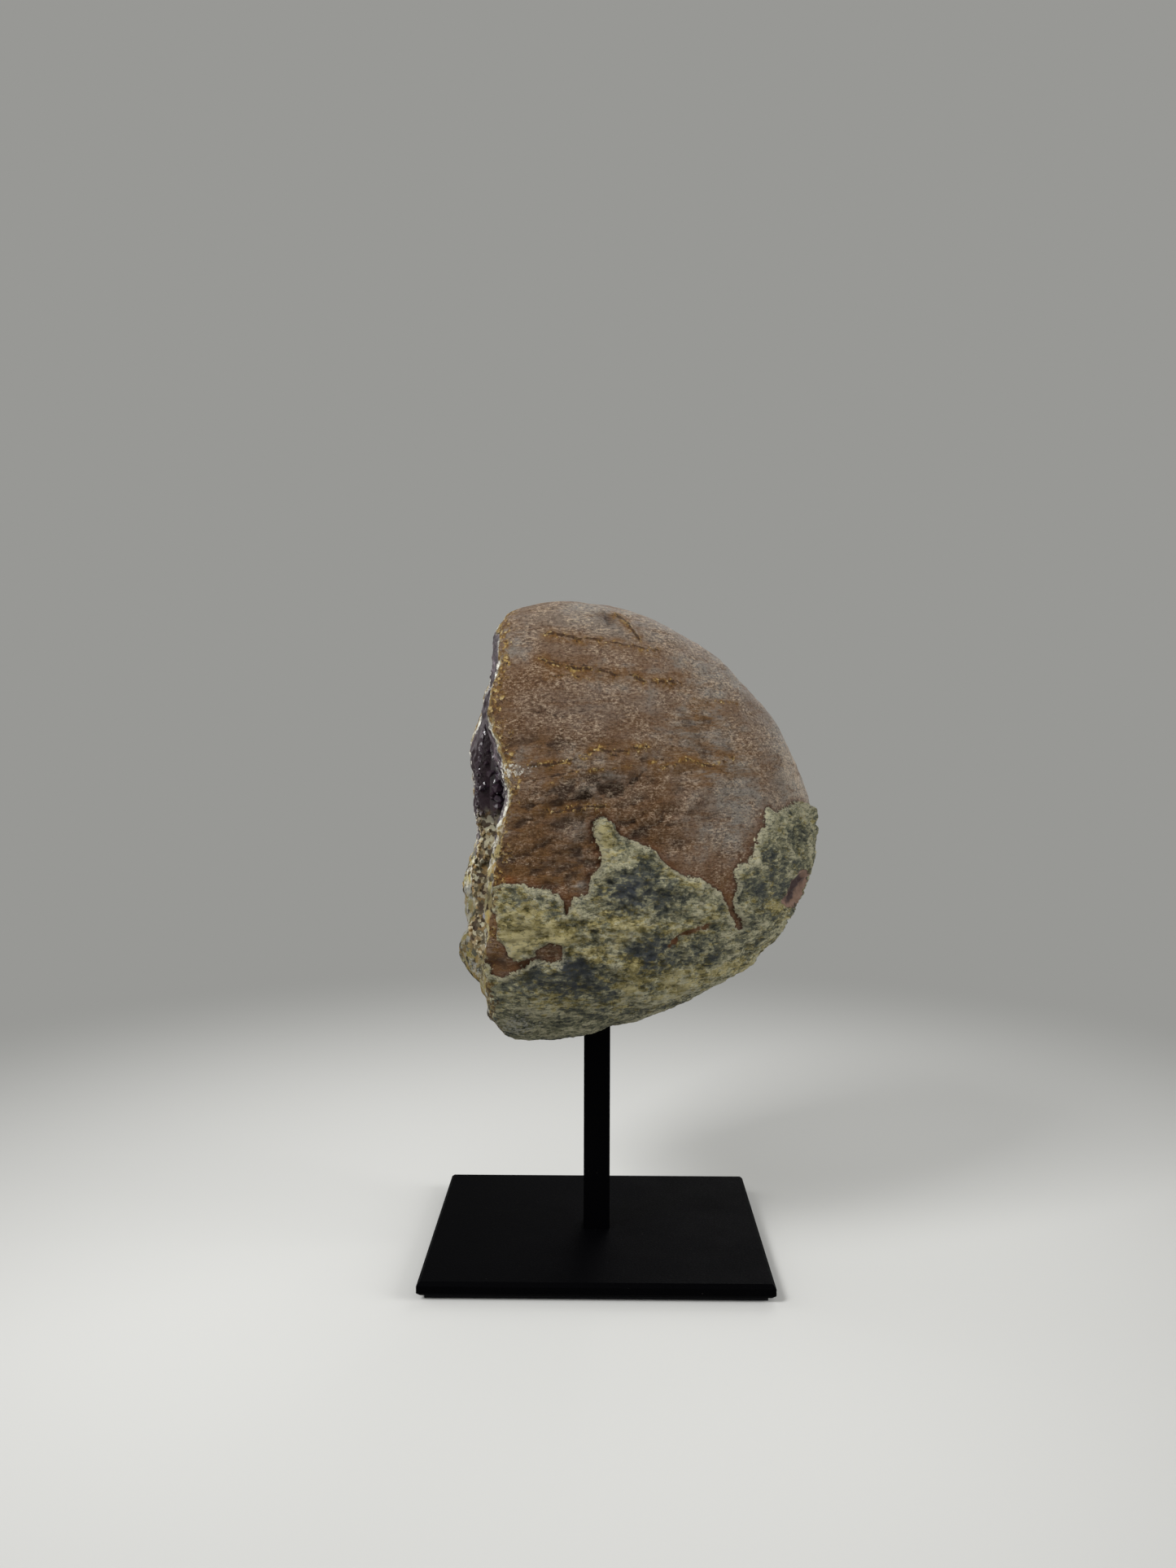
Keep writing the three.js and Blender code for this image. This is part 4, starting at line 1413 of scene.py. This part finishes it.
    def add_seams(self, sheet: Sheet, colour: Socket) -> Socket:
        """Draw the ochre seams with their stain and grains, and the dark cracks."""
        gap = sheet.layer(Layer.SEAM)
        patchy = sheet.step(sheet.clouds(3.4, 5.0, 0.75), 0.42, 0.58)
        halo = sheet.times(sheet.step(gap, 3.8, 0.2), sheet.plus(patchy, 0.3))
        colour = sheet.mix(sheet.times(halo, 0.62, clamp=True), colour, self.ochre)
        line = sheet.ragged(sheet.minus(sheet.times(patchy, 1.1), gap), 3.4, 0.4)
        colour = sheet.lay(colour, self.crust(sheet), line, 0.9)
        dark = sheet.ragged(sheet.minus(0.34, gap), 1.2, 0.25)
        colour = sheet.lay(colour, self.umber, dark, 0.85)
        crack = sheet.ragged(sheet.minus(0.4, sheet.layer(Layer.CRACK)), 1.8, 0.4)
        return sheet.lay(colour, self.deep, crack, 0.85)

    def stain_and_shade_by_rind(self, sheet: Sheet, colour: Socket) -> Socket:
        """Redden the skin along the rind's edge, paint shade along the foot of that raised edge and dot it
        with crumbs of the rind.
        """
        depth = sheet.layer(Layer.RIND)
        shifted = sheet.plus(depth, sheet.centred(sheet.clouds(4.0, 5.0, 0.7), 9.0))
        close = sheet.step(shifted, -3.2, 0.6)
        colour = sheet.lay(colour, self.rust, close, 0.55)
        # Painted shade: a dark band on the skin at the foot of the rind's raised edge.
        colour = sheet.lay(colour, self.deep, sheet.step(depth, -0.9, -0.1), 0.6)
        near = sheet.times(sheet.step(depth, -4.0, 0.0), 0.36)
        dots = sheet.flecks(1.5, near, 0.05)
        return sheet.lay(colour, self.green_light, dots, 0.85)

    def rind_colour(self, sheet: Sheet) -> Socket:
        """Colour the green rind, with its blue and yellow zones, its crumbs and its pale edge, plus painted
        light on its lump tops and painted shade in its crevices.
        """
        wide = sheet.clouds(7.0, 8.0, 0.7)
        fine = self.rind_noise(sheet)
        crumbs = sheet.crumbs(1.4, 1.8, FLAT)
        toned = sheet.centred(crumbs.outputs[0], 0.1)
        blue = sheet.layer(Layer.BLUE)
        calm = sheet.minus(1.05, sheet.times(blue, 0.5, clamp=True))
        toned = sheet.plus(toned, sheet.minus(sheet.blend(0.45, wide, fine), 0.5))
        both = sheet.plus(sheet.times(toned, calm), 0.515)
        gilt = sheet.layer(Layer.YELLOW)
        both = sheet.minus(both, sheet.times(blue, 0.06))
        both = sheet.plus(both, sheet.times(gilt, 0.07))
        # Painted light and shade: the tops of the lumps are paler and their low parts darker.
        lumps = sheet.layer(Layer.LUMP)
        both = sheet.plus(both, sheet.times(lumps, 0.035))
        low = sheet.step(sheet.axis("Z"), 92.0, 82.0)
        streaks = sheet.centred(sheet.clouds(1.6, 5.0, 0.7, (0.3, 0.3, 1.6)), 0.3)
        both = sheet.plus(both, sheet.times(low, streaks))
        both = sheet.plus(both, self.swirl(sheet))
        stops = (
            (0.4, self.green_deep), (0.44, self.green_dark), (0.485, self.green), (0.53, self.green_pale),
            (0.58, self.green_light),
        )
        colour = sheet.ramp(both, stops)
        blue = sheet.times(blue, sheet.step(both, 0.56, 0.46), clamp=True)
        colour = sheet.lay(colour, self.blue, blue, 0.85)
        patches = sheet.clouds(3.6, 6.0, 0.75, FLAT)
        near_yellow = sheet.plus(patches, sheet.times(gilt, 0.14))
        near_yellow = sheet.minus(near_yellow, sheet.times(low, 0.05))
        share = sheet.times(sheet.step(near_yellow, 0.53, 0.62), 0.85)
        stops = (
            (0.42, self.green_dark), (0.48, self.yellow_deep), (0.53, self.yellow), (0.6, self.yellow_light),
        )
        colour = sheet.mix(share, colour, sheet.ramp(both, stops))
        edge = sheet.plus(sheet.layer(Layer.RIND), sheet.centred(patches, 7.0))
        rim = sheet.times(sheet.step(edge, 1.9, 0.5), sheet.step(fine, 0.4, 0.52))
        colour = sheet.lay(colour, self.green_light, rim, 0.85)
        # Painted shade: dark green in the crevices between the crumbs.
        colour = sheet.lay(colour, self.green_deep, sheet.step(crumbs.outputs["Height"], 0.36, 0.16), 0.55)
        crack = sheet.ragged(sheet.minus(0.7, sheet.layer(Layer.CRACK)), 2.4, 0.5)
        return sheet.lay(colour, self.rust_bright, crack, 0.9)

    def swirl(self, sheet: Sheet) -> Socket:
        """Give the fine curved bands that show in one part of the rind, as a small shift of tone."""
        ends = {0: sheet.place, 1: self.swirl_middle}
        gap = sheet.node("VectorMath", ends, operation="DISTANCE").outputs["Value"]
        warp = sheet.times(sheet.clouds(5.0, 3.0, 0.5), 5.0)
        bands = sheet.math("SINE", sheet.times(sheet.plus(gap, warp), 7.0))
        return sheet.times(bands, sheet.times(sheet.step(gap, 9.0, 4.0), 0.03))

    def rind_noise(self, sheet: Sheet) -> Socket:
        """Give the swirled fine noise of the rind, 0 to 1."""
        return sheet.noise(sheet.stretched(FLAT), 1.2, 8.0, 0.86, 0.5).outputs[0]

    def crust_by_rim(self, sheet: Sheet, colour: Socket) -> Socket:
        """Put a patchy ochre crust on the skin just behind the rim."""
        patchy = sheet.times(sheet.step(sheet.clouds(4.0, 5.0, 0.75), 0.44, 0.6), 3.6)
        near = sheet.minus(sheet.minus(patchy, 0.2), sheet.layer(Layer.BACK))
        mask = sheet.ragged(near, 4.0, 1.2)
        return sheet.lay(colour, self.crust(sheet), mask, 0.85)

    def chip_colour(self, sheet: Sheet) -> Socket:
        """Colour the smooth dark chip, paler at its border."""
        field = sheet.centred(sheet.clouds(3.0, 6.0, 0.7, FLAT), 0.8)
        inside = sheet.step(sheet.layer(Layer.CHIP), 1.8, 0.4)
        return sheet.ramp(sheet.plus(inside, field), ((0.1, self.chip), (0.9, self.chip_light)))

    def depth_in_break(self, sheet: Sheet) -> Socket:
        """Measure how deep in the broken band a place lies; its outer bands are wider low down."""
        warp = sheet.centred(sheet.clouds(7.0, 5.0, 0.65), 5.0)
        deep = sheet.minus(warp, sheet.layer(Layer.BACK))
        low = sheet.times(sheet.step(sheet.axis("Z"), 142.0, 112.0), 0.82)
        far = sheet.times(sheet.step(sheet.axis("X"), 0.0, -22.0), 0.5)
        return sheet.times(deep, sheet.minus(1.0, sheet.math("MAXIMUM", low, far)))

    def bare_agate(self, sheet: Sheet) -> Socket:
        """Mask the smooth agate of the break, inside its crusty outer bands."""
        return sheet.step(self.depth_in_break(sheet), 1.6, 2.2)

    def break_colour(self, sheet: Sheet) -> Socket:
        """Colour the broken face: crusty outer bands, then dark agate up to the crystals."""
        deep = self.depth_in_break(sheet)
        stops = (
            (0.0, self.ochre), (0.06, self.gold), (0.11, self.umber), (0.15, self.cream),
            (0.2, self.green_dark), (0.25, self.agate), (0.36, self.agate_dark), (0.5, self.agate_dark),
            (0.56, self.agate_light), (0.6, self.agate), (0.74, self.agate_dark), (0.8, self.agate_light),
            (0.84, self.agate), (1.0, self.agate_dark),
        )
        colour = sheet.ramp(sheet.times(deep, 0.1), stops)
        fine = sheet.math("SINE", sheet.times(deep, 8.0))
        colour = sheet.lay(colour, self.agate_light, sheet.step(fine, 0.3, 1.0), 0.22)
        outer = sheet.step(deep, 2.6, 1.6)
        grains = sheet.crumbs(1.3, 1.6, (1.4, 1.0, 0.6)).outputs[0]
        stops = (
            (0.05, self.umber), (0.25, self.green_dark), (0.45, self.gold), (0.65, self.green_pale),
            (0.85, self.yellow), (0.97, self.white),
        )
        crumbs = sheet.ramp(grains, stops)
        high = sheet.times(sheet.step(sheet.axis("Z"), 118.0, 138.0), 0.7)
        crumbs = sheet.mix(high, crumbs, self.crust(sheet))
        colour = sheet.lay(colour, crumbs, outer, 0.85)
        edge = sheet.minus(0.9, sheet.math("ABSOLUTE", sheet.minus(deep, 2.0)))
        flecks = sheet.ragged(edge, 4.5, 0.8)
        patchy = sheet.step(sheet.clouds(6.0, 5.0, 0.75), 0.46, 0.56)
        flecks = sheet.times(flecks, patchy)
        return sheet.lay(colour, self.white, flecks, 0.85)

    def add_white(self, sheet: Sheet, colour: Socket) -> Socket:
        """Scatter white flecks where the stone is chipped."""
        share = sheet.times(sheet.layer(Layer.WHITE), 0.56)
        mask = sheet.flecks(1.1, share, 0.1)
        return sheet.lay(colour, self.white, mask, 0.85)

    def roughness(self, sheet: Sheet, rind: Socket, chip: Socket, smooth: Socket) -> Socket:
        """Mix the gloss of the skin, the rind, the chip and the glassy break."""
        varied = sheet.centred(sheet.clouds(2.0, 4.0), 0.5)
        skin = sheet.plus(varied, self.skin_roughness)
        rough = sheet.blend(rind, skin, self.rind_roughness)
        rough = sheet.blend(chip, rough, self.chip_roughness)
        return sheet.blend(smooth, rough, self.break_roughness)

    def height(self, sheet: Sheet, rind: Socket, smooth: Socket) -> Socket:
        """Give the fine relief in millimetres."""
        weave = sheet.clouds(1.15, 6.0, 0.85, FLAT)
        lines = sheet.clouds(3.0, 5.0, 0.75, STREAKED)
        skin = sheet.plus(sheet.times(weave, 0.75), sheet.times(lines, 1.15))
        crumbs = sheet.crumbs(1.4, 1.8, FLAT).outputs["Height"]
        rough = sheet.times(self.rind_noise(sheet), 3.6)
        rough = sheet.plus(rough, sheet.times(crumbs, 0.8))
        glassy = sheet.times(sheet.clouds(3.0, 4.0, 0.6), 0.35)
        return sheet.blend(smooth, sheet.blend(rind, skin, rough), glassy)


def blank_material(name: str) -> tuple[bpy.types.Material, Sheet, bpy.types.Node]:
    """Start a material.

    Args:
        name: Its name.

    Returns:
        The material, its sheet and its main shader.
    """
    material = bpy.data.materials.new(name)
    material.use_nodes = True
    shader = material.node_tree.nodes["Principled BSDF"]
    return material, Sheet(material.node_tree), shader


@dataclass(frozen=True)
class CrystalFinish:
    """Dark purple quartz, pale at its roots."""

    root: Colour = tone(82, 70, 80)
    body: Colour = tone(70, 50, 80)
    tip: Colour = tone(46, 28, 58)
    ring: Colour = tone(58, 46, 50)
    coating: tuple[tuple[float, Colour], ...] = (
        (0.1, tone(70, 50, 26)), (0.35, tone(110, 100, 70)), (0.6, tone(150, 118, 60)),
        (0.95, tone(206, 200, 170)),
    )
    veil: Colour = tone(176, 168, 184)
    roughness: float = 0.07
    ior: float = 1.544
    clearness: float = 0.35

    def build(self) -> bpy.types.Material:
        """Build the crystals' material."""
        material, sheet, shader = blank_material("quartz_finish")
        field = sheet.centred(sheet.clouds(7.0, 4.0), 1.1)
        share = sheet.plus(sheet.layer(Layer.TIP), field, clamp=True)
        colour = sheet.ramp(share, ((0.0, self.root), (0.45, self.body), (1.0, self.tip)))
        veils = sheet.flecks(2.2, 0.45, 0.2)
        colour = sheet.lay(colour, self.veil, veils, 0.25)
        ring = sheet.plus(sheet.layer(Layer.LIP), sheet.times(field, 0.3))
        colour = sheet.lay(colour, self.ring, sheet.step(ring, 0.76, 0.92), 0.85)
        drift = sheet.centred(sheet.clouds(8.0, 5.0), 20.0)
        low = sheet.step(sheet.plus(sheet.axis("Z"), drift), 136.0, 124.0)
        coated = sheet.times(low, sheet.step(sheet.axis("X"), -6.0, -14.0))
        nearness = sheet.plus(sheet.layer(Layer.LIP), sheet.times(drift, 0.02))
        coated = sheet.times(coated, sheet.step(nearness, 0.72, 0.88))
        grains = sheet.crumbs(1.2, 1.6).outputs[0]
        colour = sheet.mix(coated, colour, sheet.ramp(grains, self.coating))
        sheet.feed(shader.inputs["Base Color"], colour)
        grain = sheet.plus(sheet.times(sheet.clouds(1.5, 3.0), 0.12), self.roughness)
        sheet.feed(shader.inputs["Roughness"], sheet.plus(grain, sheet.times(coated, 0.6)))
        shader.inputs["IOR"].default_value = self.ior
        shader.inputs["Transmission Weight"].default_value = self.clearness
        steps = sheet.clouds(1.2, 2.0, stretch=(1.0, 1.0, 3.0))
        bump = sheet.node("Bump", {"Height": steps, "Strength": 0.4, "Distance": 0.08 * MM})
        sheet.feed(shader.inputs["Normal"], bump.outputs[0])
        return material


PALE_DUST = tone(120, 118, 112)


@dataclass(frozen=True)
class PlainFinish:
    """A made surface: one colour with a fine grain and a second tone in places, dusty in places."""

    name: str
    colour: Colour
    second: Colour
    grain_size: float
    grain_height: float
    roughness: float
    roughness_spread: float = 0.1
    metallic: float = 0.0
    specular: float = 0.5
    dust: float = 0.0
    stretch: Triple = (1.0, 1.0, 1.0)

    def build(self) -> bpy.types.Material:
        """Build the material."""
        material, sheet, shader = blank_material(self.name)
        sheet.place = sheet.stretched(self.stretch)
        grain = sheet.group("fine_grain", Place=sheet.place, Size=self.grain_size, Contrast=1.2).outputs[0]
        wide = sheet.clouds(14.0, 5.0)
        share = sheet.times(sheet.plus(grain, wide), 0.5)
        colour = sheet.mix(share, self.colour, self.second)
        specks = sheet.flecks(0.9, self.dust, 0.05)
        colour = sheet.lay(colour, PALE_DUST, specks, 0.35)
        sheet.feed(shader.inputs["Base Color"], colour)
        spread = sheet.centred(share, self.roughness_spread * 4)
        sheet.feed(shader.inputs["Roughness"], sheet.plus(spread, self.roughness))
        shader.inputs["Metallic"].default_value = self.metallic
        shader.inputs["Specular IOR Level"].default_value = self.specular
        bump = sheet.node("Bump", {"Height": grain, "Strength": 1.0, "Distance": self.grain_height * MM})
        sheet.feed(shader.inputs["Normal"], bump.outputs[0])
        return material


BLACK_COAT = PlainFinish(
    "black_powder_coat", tone(1, 1, 2), tone(5, 5, 6), 0.42, 0.035, 0.6, specular=0.01, dust=0.1
)
GLUE = PlainFinish("grey_glue", tone(44, 44, 40), tone(70, 69, 60), 0.8, 0.08, 0.5)
ZINC = PlainFinish(
    "bright_zinc", tone(150, 150, 148), tone(190, 190, 190), 0.25, 0.01, 0.33,
    metallic=1.0, stretch=(1, 1, 0.2),
)
FELT = PlainFinish(
    "black_felt", tone(14, 14, 16), tone(34, 34, 38), 0.22, 0.16, 0.95, specular=0.2, stretch=(1, 2, 1)
)


# The room


@dataclass(frozen=True)
class SoftLight:
    """A square soft light: where it hangs, what it points at, its width and its power in watts."""

    name: str
    place: Triple
    target: Triple
    size: float
    power: float

    def build(self) -> None:
        """Hang the light in the scene."""
        data = bpy.data.lights.new(self.name, "AREA")
        data.size = self.size
        data.energy = self.power
        light = bpy.data.objects.new(self.name, data)
        light.location = self.place
        aim = Vector(self.target) - Vector(self.place)
        light.rotation_euler = aim.to_track_quat("-Z", "Y").to_euler()
        bpy.context.scene.collection.objects.link(light)


@dataclass(frozen=True)
class Studio:
    """The floor, the lights and the camera, in metres."""

    lights: tuple[SoftLight, ...] = (
        SoftLight("soft_key", (0.4, -0.46, 0.62), (0, 0, 0.11), 0.26, 6.0),
        SoftLight("soft_front", (0.25, 0.95, 0.45), (0, 0, 0.12), 0.6, 7.2),
        SoftLight("soft_face", (-0.3, -0.95, 0.5), (0, 0, 0.12), 0.7, 3.0),
        SoftLight("soft_back", (-0.9, 0.35, 0.6), (0, 0, 0.12), 0.7, 3.6),
    )
    floor_half: float = 6.0
    floor: Colour = tone(194, 194, 192)
    fade_from: float = 0.09
    fade_to: float = 0.42
    world: Colour = tone(152, 152, 149)
    camera_place: Triple = (0.358722, 0.000909, 0.160216)
    pitch: float = math.radians(2.91)
    yaw: float = math.radians(-0.63)
    roll: float = math.radians(0.16)
    sensor: float = 36.0
    focal_pixels: float = 1447.0
    picture_height: float = 1927.0

    def build(self) -> None:
        """Make the floor, the world, the lights and the camera."""
        self.make_floor()
        self.make_world()
        bpy.context.scene.view_settings.view_transform = "Standard"
        for light in self.lights:
            light.build()
        self.make_camera()

    def make_floor(self) -> None:
        """Make a wide pale floor that fades into the background."""
        plane = bmesh.new()
        bmesh.ops.create_grid(plane, x_segments=8, y_segments=8, size=self.floor_half)
        floor = placed("floor", plane)
        material, sheet, shader = blank_material("pale_floor")
        place = sheet.node("TexCoord").outputs["Object"]
        reach = sheet.node("VectorMath", {0: place}, operation="LENGTH").outputs["Value"]
        share = sheet.step(reach, self.fade_from, self.fade_to)
        black = (0.0, 0.0, 0.0, 1.0)
        sheet.feed(shader.inputs["Base Color"], sheet.mix(share, self.floor, black))
        sheet.feed(shader.inputs["Emission Color"], sheet.mix(share, black, self.world))
        shader.inputs["Emission Strength"].default_value = 1.0
        shader.inputs["Roughness"].default_value = 1.0
        shader.inputs["Specular IOR Level"].default_value = 0.0
        floor.data.materials.append(material)

    def make_world(self) -> None:
        """Make an even grey surrounding."""
        world = bpy.data.worlds.new("soft_grey")
        world.use_nodes = True
        background = world.node_tree.nodes["Background"]
        background.inputs["Color"].default_value = self.world
        background.inputs["Strength"].default_value = 1.0
        bpy.context.scene.world = world

    def make_camera(self) -> None:
        """Put the camera where the reference view was taken from."""
        data = bpy.data.cameras.new("camera")
        data.sensor_width = self.sensor
        data.lens = self.focal_pixels / self.picture_height * self.sensor
        data.clip_start = 0.01
        data.clip_end = 50.0
        camera = bpy.data.objects.new("camera", data)
        level = math.cos(self.pitch)
        ahead = Vector((-math.cos(self.yaw) * level, math.sin(self.yaw) * level, -math.sin(self.pitch)))
        right = Vector((math.sin(self.yaw), math.cos(self.yaw), 0.0))
        up = right.cross(ahead)
        turned_right = right * math.cos(self.roll) + up * math.sin(self.roll)
        turned_up = up * math.cos(self.roll) - right * math.sin(self.roll)
        turn = Matrix((turned_right, turned_up, -ahead)).transposed()
        camera.matrix_world = Matrix.Translation(Vector(self.camera_place)) @ turn.to_4x4()
        bpy.context.scene.collection.objects.link(camera)
        bpy.context.scene.camera = camera


def main() -> None:
    """Build the studio and the dressed geode."""
    logging.basicConfig(level=logging.INFO, format="%(name)s: %(message)s")
    for build_group in (build_flecks, build_edge, build_grain, build_crumbs):
        build_group()
    Studio().build()
    nodule = Nodule()
    hand_over(Stone(nodule, Markings()).build(), "geode_stone", StoneFinish().build())
    hand_over(CrystalCrust(nodule).build(), "crystal_crust", CrystalFinish().build())
    stand = Stand()
    coat = BLACK_COAT.build()
    hand_over(stand.glue(), "glue_bead", GLUE.build())
    hand_over(stand.rounded("post", "square_post"), "post", coat)
    hand_over(stand.rounded("base_plate", "flat_plate"), "base_plate", coat)
    hand_over(stand.rounded("base_screw", "plate_screw"), "base_screw", ZINC.build())
    hand_over(stand.rounded("base_felt", "felt_pad"), "base_felt", FELT.build())


if __name__ == "__main__":
    main()
